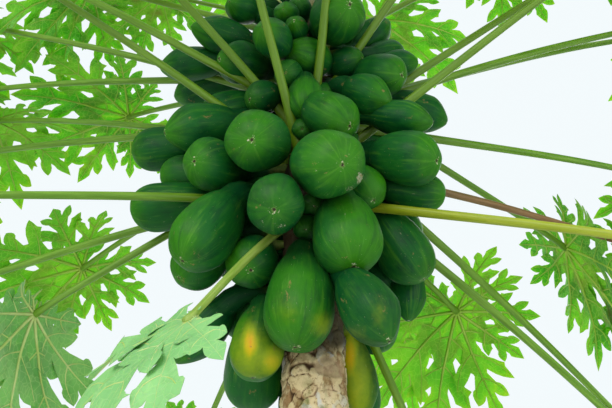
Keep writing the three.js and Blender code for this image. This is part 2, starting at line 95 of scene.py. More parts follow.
# azimuth and height of the widest part, its distance from the trunk's axis, radius, length to
# the neck, length to the tip, elevation and azimuth of the way it points
FRONT = [
    [-29, 2292, 189, 57, 98, 62, -33, -9], [8, 2213, 216, 59, 110, 67, -33, 22], [-17, 2146, 204, 49, 90, 55, -40, -1],
    [-58, 2124, 222, 55, 116, 64, -59, -62], [22, 2102, 159, 58, 115, 63, -71, 20], [-12, 1987, 115, 60, 128, 66, -82, -33],
    [29, 1960, 190, 48, 109, 64, -59, 45], [86, 2146, 174, 51, 100, 62, -60, 92], [102, 2225, 174, 44, 84, 52, -46, 112],
    [107, 2089, 190, 34, 80, 50, -80, -168], [57, 2285, 218, 50, 92, 59, -25, 55], [78, 2258, 214, 38, 88, 46, -8, 90],
    [47, 2238, 135, 38, 62, 42, -58, 44], [62, 2387, 211, 37, 83, 55, -20, 74], [93, 2480, 247, 39, 99, 50, -12, 109],
    [18, 2370, 138, 47, 82, 58, -44, 50], [49, 2438, 160, 40, 68, 50, -36, 68], [63, 2512, 170, 42, 77, 52, -29, 50],
    [90, 2628, 180, 33, 69, 43, 23, 118], [80, 2575, 201, 29, 68, 37, 1, 82], [90, 2690, 154, 34, 72, 44, 43, 78],
    [29, 2630, 132, 54, 79, 66, -18, 21], [4, 2560, 72, 41, 56, 50, -6, -50], [-3, 2426, 108, 36, 59, 44, -78, -2],
    [-27, 2559, 151, 39, 64, 51, -15, -20], [-24, 2663, 97, 26, 43, 33, -26, -13], [-77, 2648, 191, 38, 87, 61, 0, -67],
    [-68, 2560, 150, 44, 90, 56, -20, -44], [-93, 2612, 263, 39, 110, 55, -4, -96], [-117, 2630, 277, 42, 127, 63, 0, -115],
    [-70, 2377, 237, 46, 110, 60, -25, -67], [-94, 2399, 304, 46, 126, 55, -3, -98], [-90, 2325, 245, 40, 100, 48, 4, -98],
    [-61, 2284, 204, 50, 98, 57, -21, -32], [-86, 2241, 285, 47, 128, 56, -4, -93], [-85, 2124, 207, 48, 94, 53, -48, -63],
    [-60, 2105, 122, 47, 80, 53, -42, 0], [-67, 1948, 105, 47, 98, 54, -80, -32], [-131, 1944, 145, 55, 121, 61, -46, -173],
    [-105, 2015, 212, 42, 86, 76, -37, -124], [157, 1938, 200, 52, 132, 58, -44, 173], [-68, 2711, 147, 34, 60, 45, -20, -34],
    [-11, 2614, 102, 25, 42, 33, -14, -6],
]
BACK = [
    [130, 1915, 99, 42, 110, 62, -80, 130], [-174, 1908, 122, 52, 103, 59, -67, -160], [122, 2032, 132, 42, 85, 50, -62, 114],
    [-171, 2020, 169, 51, 100, 59, -44, -179], [-129, 2078, 147, 57, 108, 65, -50, -121], [154, 2075, 165, 53, 100, 61, -38, 142],
    [-170, 2145, 170, 54, 102, 63, -38, -173], [138, 2186, 135, 48, 89, 55, -42, 123], [-119, 2196, 164, 50, 93, 58, -33, -107],
    [171, 2247, 172, 49, 91, 57, -29, 173], [-153, 2254, 183, 52, 95, 61, -28, -154], [133, 2278, 173, 50, 91, 59, -29, 126],
    [-175, 2340, 174, 47, 85, 56, -20, -180], [94, 2323, 169, 52, 93, 63, -20, 99], [-123, 2331, 158, 52, 92, 63, -27, -127],
    [152, 2374, 158, 46, 81, 56, -21, 153], [-149, 2414, 146, 45, 78, 55, -26, -144], [127, 2453, 164, 50, 87, 62, -12, 118],
    [-91, 2475, 164, 47, 81, 58, -18, -90], [176, 2470, 150, 48, 82, 60, -18, 179], [-135, 2519, 143, 43, 73, 55, -8, -135],
    [140, 2546, 147, 45, 76, 59, -6, 131], [-169, 2583, 143, 44, 74, 59, -3, -170], [113, 2608, 137, 43, 71, 58, -8, 106],
    [-116, 2636, 133, 41, 68, 56, -3, -110], [166, 2654, 132, 41, 68, 56, 8, 172], [-152, 2690, 128, 39, 64, 55, 10, -155],
    [127, 2715, 123, 37, 60, 53, 13, 126], [-174, 2746, 116, 34, 55, 49, 10, -169],
]
DEEP = [
    [30, 2478, 62, 26, 39, 31, -35, 33], [-21, 2500, 101, 28, 41, 33, -35, -20], [-53, 2464, 112, 32, 47, 38, -35, -52],
    [57, 2563, 99, 31, 46, 37, -5, 57], [-7, 2374, 85, 23, 34, 27, -35, -4], [22, 2631, 90, 27, 40, 32, -5, 21],
    [3, 2205, 89, 23, 35, 28, -35, 8], [36, 2048, 78, 19, 29, 23, -35, 42], [-86, 2279, 107, 27, 41, 32, -35, -86],
    [-85, 2211, 148, 26, 40, 32, -35, -84], [46, 2362, 96, 25, 37, 30, -35, 48], [-8, 2692, 75, 25, 38, 30, -5, -10],
    [-72, 2713, 98, 22, 32, 26, -5, -72], [113, 2126, 150, 28, 44, 36, -45, 110],
    [-6, 2162, 84, 23, 34, 28, -35, -6],
]
YOUNG = [
    [63, 2750, 91, 31, 50, 46, 18, 63], [-22, 2773, 86, 29, 47, 44, 22, -22], [115, 2784, 83, 28, 45, 42, 24, 116],
    [-107, 2795, 80, 27, 44, 41, 26, -107], [31, 2806, 77, 26, 42, 40, 28, 31], [168, 2817, 74, 25, 41, 38, 30, 168],
    [-54, 2828, 71, 24, 39, 37, 32, -54], [83, 2839, 69, 24, 38, 35, 34, 83], [-140, 2849, 65, 23, 36, 34, 36, -139],
    [-2, 2860, 63, 22, 35, 32, 38, -2], [135, 2870, 60, 21, 33, 31, 40, 136], [-87, 2880, 57, 20, 32, 30, 42, -87],
    [51, 2890, 55, 19, 30, 28, 44, 51], [-172, 2900, 52, 18, 29, 27, 46, -172], [-34, 2910, 49, 17, 27, 26, 48, -34],
]


# ---- small helpers ---------------------------------------------------------------------------
def rad(d):
    return d * math.pi / 180.0


def smooth(x, a, b):
    t = np.clip((x - a) / (b - a), 0, 1)
    return t * t * (3 - 2 * t)


def direction(az, el):
    return np.array([math.sin(rad(az)) * math.cos(rad(el)), -math.cos(rad(az)) * math.cos(rad(el)), math.sin(rad(el))])


def unit(v):
    v = np.asarray(v, float)
    return v / np.linalg.norm(v)


def axis_at(z):
    z = np.asarray(z, float)
    return np.stack([BOW * np.sin(np.pi * z / BOW_SPAN), np.zeros_like(z), z], -1)


def trunk_r(z):
    return np.interp(z, TRUNK_Z, TRUNK_R)


def hash3(ix, iy, iz, seed):
    m = 0xFFFFFFFF
    h = (ix * 374761393 + iy * 668265263 + iz * 2147483629 + seed * 1274126177) & m
    h = ((h ^ (h >> 13)) * 1274126177) & m
    h = ((h ^ (h >> 16)) * 668265263) & m
    return ((h ^ (h >> 15)) & 0xFFFFFF) / float(0xFFFFFF)


def vnoise(p, seed=0):
    """Smooth value noise, 0 to 1, at points (n, 3)."""
    f = np.floor(p)
    i = f.astype(np.int64)
    t = p - f
    t = t * t * (3 - 2 * t)
    out = 0
    for dx in (0, 1):
        wx = t[:, 0] if dx else 1 - t[:, 0]
        for dy in (0, 1):
            wy = t[:, 1] if dy else 1 - t[:, 1]
            for dz in (0, 1):
                wz = t[:, 2] if dz else 1 - t[:, 2]
                out = out + wx * wy * wz * hash3(i[:, 0] + dx, i[:, 1] + dy, i[:, 2] + dz, seed)
    return out


def fbm(p, octaves=4, seed=0):
    s, a, tot = 0, .5, 0
    for k in range(octaves):
        s = s + a * vnoise(p * 2 ** k + 17.3 * k, seed + k)
        tot += a
        a *= .5
    return s / tot


def cells(p, seed=0):
    """Distance to the nearest and second nearest scattered point, and the nearest one's number."""
    f = np.floor(p).astype(np.int64)
    d1 = np.full(len(p), 9.0)
    d2 = np.full(len(p), 9.0)
    num = np.zeros(len(p))
    for dx in (-1, 0, 1):
        for dy in (-1, 0, 1):
            for dz in (-1, 0, 1):
                c = f + (dx, dy, dz)
                q = np.stack([hash3(c[:, 0], c[:, 1], c[:, 2], seed + k) for k in range(3)], 1) + c
                d = np.linalg.norm(q - p, axis=1)
                n = hash3(c[:, 0], c[:, 1], c[:, 2], seed + 7)
                near = d < d1
                d2 = np.where(near, d1, np.minimum(d2, d))
                num = np.where(near, n, num)
                d1 = np.where(near, d, d1)
    return d1, d2, num


class Bag:
    """Joins many meshes into one object, with a UV map and point attributes."""

    def __init__(self):
        self.v, self.f, self.uv, self.m, self.a, self.n = [], [], [], [], {}, 0

    def add(self, v, faces, uv, mat=0, **attrs):
        v = np.asarray(v, float)
        faces = np.asarray(faces)
        self.v.append(v)
        self.f.append(faces + self.n)
        self.uv.append(np.asarray(uv, float))
        self.m.append(np.broadcast_to(np.asarray(mat), (len(faces),)))
        for k, a in attrs.items():
            a = np.asarray(a, float)
            if a.ndim == 0:
                a = np.full(len(v), float(a))
            self.a.setdefault(k, []).append((self.n, a))
        self.n += len(v)

    def build(self, name, mats):
        co = np.concatenate(self.v)
        loops = np.concatenate([f.ravel() for f in self.f])
        total = np.concatenate([np.full(len(f), f.shape[1]) for f in self.f])
        start = np.concatenate([[0], np.cumsum(total)[:-1]])
        me = bpy.data.meshes.new(name)
        me.vertices.add(len(co))
        me.vertices.foreach_set("co", co.ravel())
        me.loops.add(len(loops))
        me.loops.foreach_set("vertex_index", loops.astype(np.int32))
        me.polygons.add(len(start))
        me.polygons.foreach_set("loop_start", start.astype(np.int32))
        me.polygons.foreach_set("material_index", np.concatenate(self.m).astype(np.int32))
        me.polygons.foreach_set("use_smooth", np.ones(len(start), bool))
        layer = me.uv_layers.new(name="OFBake")
        layer.data.foreach_set("uv", np.concatenate([u.reshape(-1, 2) for u in self.uv]).ravel())
        for k, parts in self.a.items():
            vec = parts[0][1].ndim == 2
            full = np.zeros((len(co), 3) if vec else len(co))
            for at, a in parts:
                full[at:at + len(a)] = a
            att = me.attributes.new(k, "FLOAT_VECTOR" if vec else "FLOAT", "POINT")
            att.data.foreach_set("vector" if vec else "value", full.ravel())
        me.update(calc_edges=True)
        for m in mats:
            me.materials.append(m)
        ob = bpy.data.objects.new(name, me)
        bpy.context.scene.collection.objects.link(ob)
        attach(ob, "root")
        tris = int((total - 2).sum())
        print(f"piece {name}: {tris} triangles")
        return ob


def tube_faces(nr, nc, u0=0.0, v0=0.0, du=1.0, dv=1.0):
    """Quads of nr rings of nc points, and their corners' UVs."""
    i = np.repeat(np.arange(nr - 1), nc)
    j = np.tile(np.arange(nc), nr - 1)
    k = (j + 1) % nc
    f = np.stack([i * nc + j, i * nc + k, (i + 1) * nc + k, (i + 1) * nc + j], 1)
    u = np.stack([j, j + 1, j + 1, j], 1) / nc
    v = np.stack([i, i, i + 1, i + 1], 1) / (nr - 1)
    return f, np.stack([u0 + du * u, v0 + dv * v], 2)


def rings(line, radii, nc, up=(0, 0, 1), flat=1.0):
    """Points of a tube round a line: (rings * nc, 3). flat squeezes it along its upper side."""
    line = np.asarray(line, float)
    t = np.gradient(line, axis=0)
    t /= np.linalg.norm(t, axis=1)[:, None]
    e1 = np.cross(np.broadcast_to(up, t.shape), t)
    e1 /= np.maximum(np.linalg.norm(e1, axis=1)[:, None], 1e-9)
    e2 = np.cross(t, e1)
    a = 2 * np.pi * np.arange(nc) / nc
    r = np.asarray(radii, float)
    r = r[:, None] if r.ndim == 1 else r
    return (line[:, None, :] + (r * np.cos(a))[..., None] * e1[:, None, :] + (flat * r * np.sin(a))[..., None] * e2[:, None, :]).reshape(-1, 3)


def cap_faces(ring, tip, flip):
    """A fan from a ring of point numbers to a tip point's number."""
    nxt = np.roll(ring, -1)
    f = np.stack([ring, nxt, np.full(len(ring), tip)], 1)
    return f[:, ::-1] if flip else f


# ---- camera: the photo's viewing angle -----------------------------------------------------------
CAM = np.array([0.0, -1.40, 1.45])
PITCH, FOCAL_PX = 30.0, 840.0


def to_photo(p):
    """Where a point falls in the 612 x 408 frame, and its distance along the view."""
    c, s = math.cos(rad(PITCH)), math.sin(rad(PITCH))
    d = np.asarray(p) - CAM
    f = d[..., 1] * c + d[..., 2] * s
    up = -d[..., 1] * s + d[..., 2] * c
    return 306 + FOCAL_PX * d[..., 0] / f, 204 - FOCAL_PX * up / f, f


# ---- materials -------------------------------------------------------------------------------------
def srgb(r, g, b):
    def lin(c):
        c /= 255.0
        return c / 12.92 if c <= .04045 else ((c + .055) / 1.055) ** 2.4
    return (lin(r), lin(g), lin(b), 1.0)


class Mat:
    """A node material with short calls for the nodes used here."""

    def __init__(self, name):
        self.m = bpy.data.materials.new(name)
        self.m.use_nodes = True
        self.n = self.m.node_tree.nodes
        self.l = self.m.node_tree.links
        self.p = self.n["Principled BSDF"]

    def set(self, **kw):
        for k, v in kw.items():
            self.p.inputs[k.replace("_", " ")].default_value = v

    def attr(self, name):
        a = self.n.new("ShaderNodeAttribute")
        a.attribute_name = name
        return a

    def mix(self, a, b, fac, blend="MIX"):
        x = self.n.new("ShaderNodeMix")
        x.data_type = "RGBA"
        x.blend_type = blend
        for s, v in ((x.inputs[6], a), (x.inputs[7], b), (x.inputs[0], fac)):
            self.put(s, v)
        return x.outputs[2]

    def put(self, sock, v):
        if isinstance(v, bpy.types.NodeSocket):
            self.l.new(v, sock)
        else:
            sock.default_value = v

    def math(self, op, a, b=0.0, clamp=False):
        x = self.n.new("ShaderNodeMath")
        x.operation = op
        x.use_clamp = clamp
        self.put(x.inputs[0], a)
        self.put(x.inputs[1], b)
        return x.outputs[0]

    def ramp(self, v, lo, hi, out_lo=0.0, out_hi=1.0):
        x = self.n.new("ShaderNodeMapRange")
        x.interpolation_type = "SMOOTHSTEP"
        self.put(x.inputs[0], v)
        for i, q in enumerate((lo, hi, out_lo, out_hi)):
            x.inputs[i + 1].default_value = q
        return x.outputs[0]

    def coords(self, vec=None, scale=(1, 1, 1)):
        x = self.n.new("ShaderNodeMapping")
        if vec is None:
            vec = self.n.new("ShaderNodeTexCoord").outputs["Object"]
        self.l.new(vec, x.inputs["Vector"])
        x.inputs["Scale"].default_value = scale
        return x.outputs[0]

    def noise(self, vec, scale, detail=3.0, rough=.5, distortion=0.0):
        x = self.n.new("ShaderNodeTexNoise")
        self.l.new(vec, x.inputs["Vector"])
        x.inputs["Scale"].default_value = scale
        x.inputs["Detail"].default_value = detail
        x.inputs["Roughness"].default_value = rough
        x.inputs["Distortion"].default_value = distortion
        return x.outputs[0]

    def voronoi(self, vec, scale, feature="F1"):
        x = self.n.new("ShaderNodeTexVoronoi")
        x.feature = feature
        self.l.new(vec, x.inputs["Vector"])
        x.inputs["Scale"].default_value = scale
        return x.outputs["Distance"]

    def bump(self, height, strength, distance):
        x = self.n.new("ShaderNodeBump")
        x.inputs["Strength"].default_value = strength
        x.inputs["Distance"].default_value = distance
        self.l.new(height, x.inputs["Height"])
        self.l.new(x.outputs[0], self.p.inputs["Normal"])

    def color(self, c):
        self.put(self.p.inputs["Base Color"], c)

    def rough(self, v):
        self.put(self.p.inputs["Roughness"], v)


def leaf_material(name, low, high, rough, glow, net):
    """One side of a blade: patchy green with a fine net of paler veins between the raised ones."""
    m = Mat(name)
    xyz = m.coords()
    big = m.ramp(m.noise(xyz, 9.0, 3.0), .35, .68)
    fine = m.noise(xyz, 60.0, 4.0)
    c = m.mix(low, high, big)
    c = m.mix(c, tuple(q * .72 for q in low[:3]) + (1,), m.ramp(fine, .5, .75, 0, .5))
    lines = m.ramp(m.voronoi(xyz, 75.0, "DISTANCE_TO_EDGE"), .0, .09, 1, 0)
    c = m.mix(c, net, m.math("MULTIPLY", lines, .38))
    c = m.mix(c, tuple(min(1, q * 1.5) for q in high[:3]) + (1,), m.math("MULTIPLY", m.attr("tone").outputs["Fac"], .80))
    c = m.mix(c, high, m.ramp(m.attr("out").outputs["Fac"], .0, .22, .8, 0))
    brown = m.mix(srgb(120, 84, 40), srgb(170, 130, 66), fine)
    c = m.mix(c, brown, m.attr("brown").outputs["Fac"])
    m.color(c)
    m.rough(m.ramp(fine, .3, .7, rough - .06, rough + .08))
    h = m.math("ADD", m.math("MULTIPLY", m.noise(xyz, 38.0, 2.0), 1.0), m.math("MULTIPLY", lines, -.35))
    m.bump(h, .35, .0035)
    m.set(Subsurface_Weight=glow, Subsurface_Scale=.006, Subsurface_Radius=(.40, 1.0, .10), Specular_IOR_Level=.26)
    return m.m


# bright yellow-green underside: partly the blade's own paler underside, partly painted light standing in for the sky
# shining through the blade
UNDER = leaf_material("leaf_underside", srgb(70, 150, 20), srgb(130, 202, 34), .55, .42, srgb(184, 222, 86))
UPPER = leaf_material("leaf_upper_side", srgb(34, 96, 34), srgb(62, 130, 48), .50, .15, srgb(112, 160, 76))
# painted sheen: a pale grey-green upper side, partly the blade's own paler green and partly the sky's sheen painted in
PALE_UP = leaf_material("leaf_upper_side_pale_sheen", srgb(106, 164, 98), srgb(140, 194, 124), .60, .12, srgb(172, 208, 136))
PALE_UNDER = leaf_material("leaf_underside_bloomy", srgb(98, 160, 78), srgb(134, 188, 104), .60, .2, srgb(180, 210, 130))


def vein_material(name, low, high):
    m = Mat(name)
    xyz = m.coords()
    m.color(m.mix(low, high, m.ramp(m.noise(xyz, 14.0, 3.0), .35, .7)))
    m.bump(m.noise(xyz, 240.0, 2.0), .2, .0008)
    m.set(Roughness=.5, Subsurface_Weight=.2, Subsurface_Scale=.006, Subsurface_Radius=(.6, 1.0, .2))
    return m.m


VEIN = vein_material("leaf_veins", srgb(148, 190, 50), srgb(182, 210, 84))
VEIN_PALE = vein_material("leaf_veins_bloomy", srgb(186, 208, 112), srgb(212, 222, 150))


def stalk_material(name, base, light, dark, spots):
    """A smooth leaf stalk: long faint streaks, a dusty bloom and small marks."""
    m = Mat(name)
    loc = m.attr("loc").outputs["Vector"]
    long = m.coords(loc, (1.3, 1.3, .22))
    streak = m.noise(long, 1.1, 3.0)
    fibre = m.noise(m.coords(loc, (7.0, 7.0, .5)), 1.6, 3.0)
    xyz = m.coords()
    c = m.mix(base, light, m.ramp(streak, .34, .70))
    c = m.mix(c, dark, m.ramp(fibre, .45, .75, 0, .28))
    # darker olive at the stalk's foot, its own colour, and painted shade along the whole of stalks that point steeply
    # up
    c = m.mix(c, dark, m.math("MULTIPLY", m.attr("base").outputs["Fac"], .85))
    mark = m.ramp(m.noise(m.coords(loc, (3.0, 3.0, 1.3)), 5.0, 5.0, .6), .66, .72)
    c = m.mix(c, spots, m.math("MULTIPLY", mark, .5))
    dots = m.ramp(m.voronoi(xyz, 160.0), .10, .18, 1, 0)
    c = m.mix(c, spots, m.math("MULTIPLY", dots, .30))
    m.color(c)
    m.rough(m.ramp(streak, .3, .7, .36, .52))
    m.bump(m.math("ADD", m.math("MULTIPLY", fibre, .6), m.math("MULTIPLY", m.noise(xyz, 300.0, 2.0), .2)), .16, .0010)
    m.set(Coat_Weight=.08, Coat_Roughness=.35, Specular_IOR_Level=.4, Subsurface_Weight=.12, Subsurface_Scale=.006, Subsurface_Radius=(.6, 1.0, .2))
    return m.m


STALK = stalk_material("stalk_green", srgb(96, 144, 24), srgb(130, 176, 56), srgb(92, 114, 2), srgb(96, 96, 36))
STALK_YELLOW = stalk_material("stalk_yellow", srgb(158, 172, 26), srgb(188, 198, 60), srgb(126, 138, 24), srgb(122, 108, 40))
STALK_PALE = stalk_material("stalk_pale", srgb(136, 168, 66), srgb(174, 194, 104), srgb(104, 132, 12), srgb(150, 128, 62))
STALK_DRY = stalk_material("stalk_dry", srgb(124, 82, 46), srgb(156, 112, 72), srgb(96, 96, 40), srgb(78, 50, 28))


def fruit_material():
    """Green, waxy skin: darker towards the neck, long faint bands, latex scars, pale specks, the dry blossom scar at
    the tip with its five pale lines, and the yellow of ripening; painted light on the outward side, painted teal shade
    on the other sides, and painted shade over fruit set dark."""
    m = Mat("fruit_skin")
    loc = m.attr("loc").outputs["Vector"]
    tone = m.attr("tone").outputs["Fac"]
    tipd = m.attr("tip").outputs["Fac"]
    rib = m.attr("rib").outputs["Fac"]
    neck = m.attr("neck").outputs["Fac"]
    deep, mid, light = srgb(0, 50, 26), srgb(10, 88, 18), srgb(58, 130, 4)
    soft = m.noise(loc, 1.5, 3.0)
    ray = m.attr("ray").outputs["Vector"]
    rays = m.noise(ray, 4.6, 4.0, .62)
    fine_rays = m.noise(ray, 12.0, 3.0, .6)
    bands = m.noise(m.coords(loc, (3.2, 3.2, .5)), 1.6, 3.0)
    c = m.mix(deep, mid, m.ramp(soft, .26, .58))
    c = m.mix(c, light, m.math("MULTIPLY", m.ramp(bands, .45, .72), .36))
    c = m.mix(c, light, m.math("MULTIPLY", m.ramp(tone, 0, 1), .5))
    # painted light on the outward side, and painted teal shade on the sides away from it
    belly = m.math("MULTIPLY", m.attr("belly").outputs["Fac"], m.ramp(m.noise(loc, .9, 3.0), .28, .62, .45, 1.0))
    c = m.mix(c, srgb(6, 84, 42), m.ramp(m.attr("belly").outputs["Fac"], .0, .75, .38, 0))
    c = m.mix(c, light, m.math("MULTIPLY", belly, .60))
    c = m.mix(c, srgb(92, 152, 34), m.math("MULTIPLY", m.ramp(rays, .54, .70), .30))
    c = m.mix(c, srgb(0, 54, 26), m.math("MULTIPLY", m.ramp(rays, .30, .46, 1, 0), .42))
    c = m.mix(c, srgb(104, 160, 60), m.math("MULTIPLY", m.ramp(fine_rays, .60, .72), .20))
    # deep green towards the neck, and painted shade over the whole of fruit set dark
    c = m.mix(c, deep, m.math("MULTIPLY", neck, .65))
    # pale lines and a paler cap round the tip
    near = m.ramp(tipd, .0, 1.0, 1, 0)
    line = m.math("MULTIPLY", m.ramp(rib, .86, 1.0), near)
    c = m.mix(c, srgb(104, 156, 58), m.math("MULTIPLY", line, .20))
    c = m.mix(c, light, m.math("MULTIPLY", near, .28))
    # ripening
    blush = m.attr("blush").outputs["Fac"]
    rough_edge = m.math("ADD", blush, m.math("MULTIPLY", m.math("SUBTRACT", m.noise(loc, 5.0, 4.0), .5), .22))
    c = m.mix(c, srgb(142, 162, 22), m.ramp(rough_edge, .04, .55))
    c = m.mix(c, srgb(214, 178, 16), m.ramp(rough_edge, .40, .92))
    c = m.mix(c, srgb(228, 138, 8), m.ramp(rough_edge, .80, 1.15))
    # the stalk
    wood = m.mix(srgb(84, 112, 40), srgb(128, 142, 66), m.ramp(m.noise(loc, 7.0, 4.0), .35, .65))
    c = m.mix(c, wood, m.ramp(m.attr("ped").outputs["Fac"], .0, 1.0))
    # latex scars and specks
    tan, crust = srgb(138, 118, 70), srgb(196, 190, 160)
    scar = m.ramp(m.noise(m.coords(loc, (1, 1, .6)), 2.6, 8.0, .70, .3), .630, .69)
    c = m.mix(c, tan, m.math("MULTIPLY", scar, .75))
    scratch = m.ramp(m.noise(m.coords(loc, (5.0, 5.0, .8)), 2.3, 6.0, .6, .4), .70, .73)
    c = m.mix(c, crust, m.math("MULTIPLY", scratch, .5))
    speck = m.ramp(m.voronoi(loc, 7.0), .035, .06, 1, 0)
    c = m.mix(c, crust, m.math("MULTIPLY", speck, .7))
    pore = m.ramp(m.voronoi(loc, 26.0), .12, .22, 1, 0)
    c = m.mix(c, srgb(70, 128, 62), m.math("MULTIPLY", pore, .20))
    drop = m.math("MULTIPLY", m.ramp(m.noise(loc, 11.0, 2.0), .60, .66), m.ramp(tipd, .14, .20, 1, 0))
    c = m.mix(c, srgb(206, 204, 168), m.math("MULTIPLY", drop, .8))
    crusty = m.attr("crust").outputs["Fac"]
    crusty = m.ramp(m.math("ADD", crusty, m.math("MULTIPLY", m.math("SUBTRACT", m.noise(loc, 14.0, 6.0, .7), .5), 1.6)), .42, .62)
    c = m.mix(c, m.mix(tan, srgb(198, 200, 176), m.ramp(m.noise(loc, 22.0, 3.0), .4, .6)), m.math("MULTIPLY", crusty, .85))
    # the blossom scar
    jag = m.math("ADD", tipd, m.math("MULTIPLY", m.math("SUBTRACT", m.noise(loc, 9.0, 4.0), .5), .16))
    c = m.mix(c, srgb(120, 132, 74), m.math("MULTIPLY", m.ramp(jag, .060, .12, 1, 0), .40))
    c = m.mix(c, srgb(50, 40, 24), m.ramp(jag, .026, .062, 1, 0))
    m.color(c)
    rough = m.math("ADD", m.ramp(soft, .3, .7, .44, .56), m.math("MULTIPLY", scar, .3))
    m.rough(rough)
    h = m.math("ADD", m.math("MULTIPLY", m.noise(loc, 4.0, 3.0), .8), m.math("MULTIPLY", m.noise(loc, 30.0, 3.0), .10))
    h = m.math("ADD", h, m.math("MULTIPLY", scar, .12))
    h = m.math("ADD", h, m.math("MULTIPLY", rays, .35))
    m.bump(h, .30, .0035)
    m.set(Coat_Weight=.03, Coat_Roughness=.34, Specular_IOR_Level=.18, Subsurface_Weight=.06, Subsurface_Scale=.01, Subsurface_Radius=(.4, 1.0, .3))
    return m.m


FRUIT_SKIN = fruit_material()


def bark_material():
    """Tan, flaking bark: pale plates, brown cracks between them, leaf scars, green stains, and painted shade on the
    stem among the fruit.
    """
    m = Mat("bark")
    xyz = m.coords()
    plate = m.attr("plate").outputs["Fac"]
    crack = m.attr("crack").outputs["Fac"]
    scar = m.attr("scar").outputs["Fac"]
    green = m.attr("green").outputs["Fac"]
    fine = m.noise(xyz, 110.0, 7.0, .7)
    mid = m.noise(xyz, 30.0, 6.0, .62)
    c = m.mix(srgb(158, 122, 84), srgb(218, 194, 150), m.ramp(m.math("ADD", plate, m.math("MULTIPLY", m.math("SUBTRACT", mid, .5), .7)), .18, .52))
    c = m.mix(c, srgb(208, 202, 190), m.ramp(plate, .62, .80))
    c = m.mix(c, srgb(226, 208, 172), m.math("MULTIPLY", m.ramp(mid, .50, .64), .6))
    c = m.mix(c, srgb(126, 84, 50), m.math("MULTIPLY", m.ramp(fine, .52, .64), .62))
    c = m.mix(c, srgb(172, 112, 62), m.math("MULTIPLY", m.ramp(m.noise(xyz, 15.0, 3.0), .58, .70), .45))
    c = m.mix(c, srgb(176, 146, 116), m.math("MULTIPLY", scar, .7))
    c = m.mix(c, m.mix(srgb(132, 120, 100), srgb(176, 166, 146), mid), m.math("MULTIPLY", m.attr("aged").outputs["Fac"], m.ramp(m.noise(xyz, 9.0, 5.0), .34, .62, .25, .85)))
    c = m.mix(c, m.mix(srgb(116, 82, 54), srgb(62, 42, 28), m.ramp(crack, .35, .95)), m.ramp(crack, .05, .8))
    c = m.mix(c, srgb(98, 112, 52), m.math("MULTIPLY", green, m.ramp(m.noise(xyz, 40.0, 4.0), .45, .62)))
    # painted shade: near-black brown on the stem among the fruit, where the fruit and stalks shade it
    c = m.mix(c, m.mix(srgb(26, 24, 12), srgb(58, 48, 24), mid), m.math("MULTIPLY", m.attr("shade").outputs["Fac"], .93))
    c = m.mix(c, srgb(126, 144, 66), m.math("MULTIPLY", m.attr("fresh").outputs["Fac"], .85))
    m.color(c)
    m.rough(m.ramp(fine, .3, .7, .72, .92))
    m.bump(m.math("ADD", m.math("MULTIPLY", mid, .6), m.math("MULTIPLY", fine, .5)), .8, .004)
    m.set(Specular_IOR_Level=.2)
    return m.m


BARK = bark_material()


def simple_material(name, a, b, scale, rough, bump=.2):
    m = Mat(name)
    xyz = m.coords()
    n = m.noise(xyz, scale, 4.0)
    m.color(m.mix(a, b, m.ramp(n, .35, .68)))
    m.rough(m.ramp(n, .3, .7, rough - .05, rough + .08))
    m.bump(m.noise(xyz, scale * 4, 3.0), bump, .001)
    m.set(Subsurface_Weight=.2, Subsurface_Scale=.005, Subsurface_Radius=(.8, 1.0, .4))
    return m.m


PETAL = simple_material("blossom", srgb(232, 228, 186), srgb(246, 244, 222), 60.0, .5)
BUD = simple_material("flower_bud", srgb(176, 196, 112), srgb(214, 218, 150), 50.0, .5)
YOUNG_LEAF = leaf_material("young_leaf", srgb(120, 166, 46), srgb(152, 196, 66), .5, .45, srgb(186, 214, 110))


# ---- leaves -------------------------------------------------------------------------------------------
LOBES = [(-141, .50), (-105, .70), (-69, .86), (-34, .96), (0, 1.0), (34, .96), (69, .86), (105, .70), (141, .50)]
CUT = .25                 # radius, as a share of the shorter lobe's, where two lobes part
# side lobes: foot on the rib, length, angle off the rib, half width, as shares of the lobe
SIDE_LOBES = [(.20, .345, 50, .061), (.43, .385, 45, .065), (.655, .275, 39, .055)]
BROAD_SIDES = [(.26, .345, 46, .095), (.585, .31, 40, .084)]
# leaves with some lobes shorter than usual: the share of the usual length for each lobe
SHORT = {
    2: (.20, .44, .86, 1, 1, 1, 1, .96, .26), 11: (.36, .58, .92, 1, 1, 1, .8, .46, .36),
    8: (1, .72, .62, .58, .68, .88, 1, 1, 1), 13: (1, 1, .78, .70, .85, 1, 1, 1, 1),
    14: (1, 1, 1, 1, 1, 1, 1, .66, 1), 17: (1, 1, 1, 1, 1, 1, .9, .66, .9),
    19: (1, .84, .58, .62, 1, 1, 1, .84, 1), 26: (1, 1, 1, 1, 1, 1, .9, .62, .66),
    29: (1, 1, 1, 1, .90, .80, .60, .84, 1), 30: (1, 1, .64, .74, 1, 1, 1, 1, 1),
}


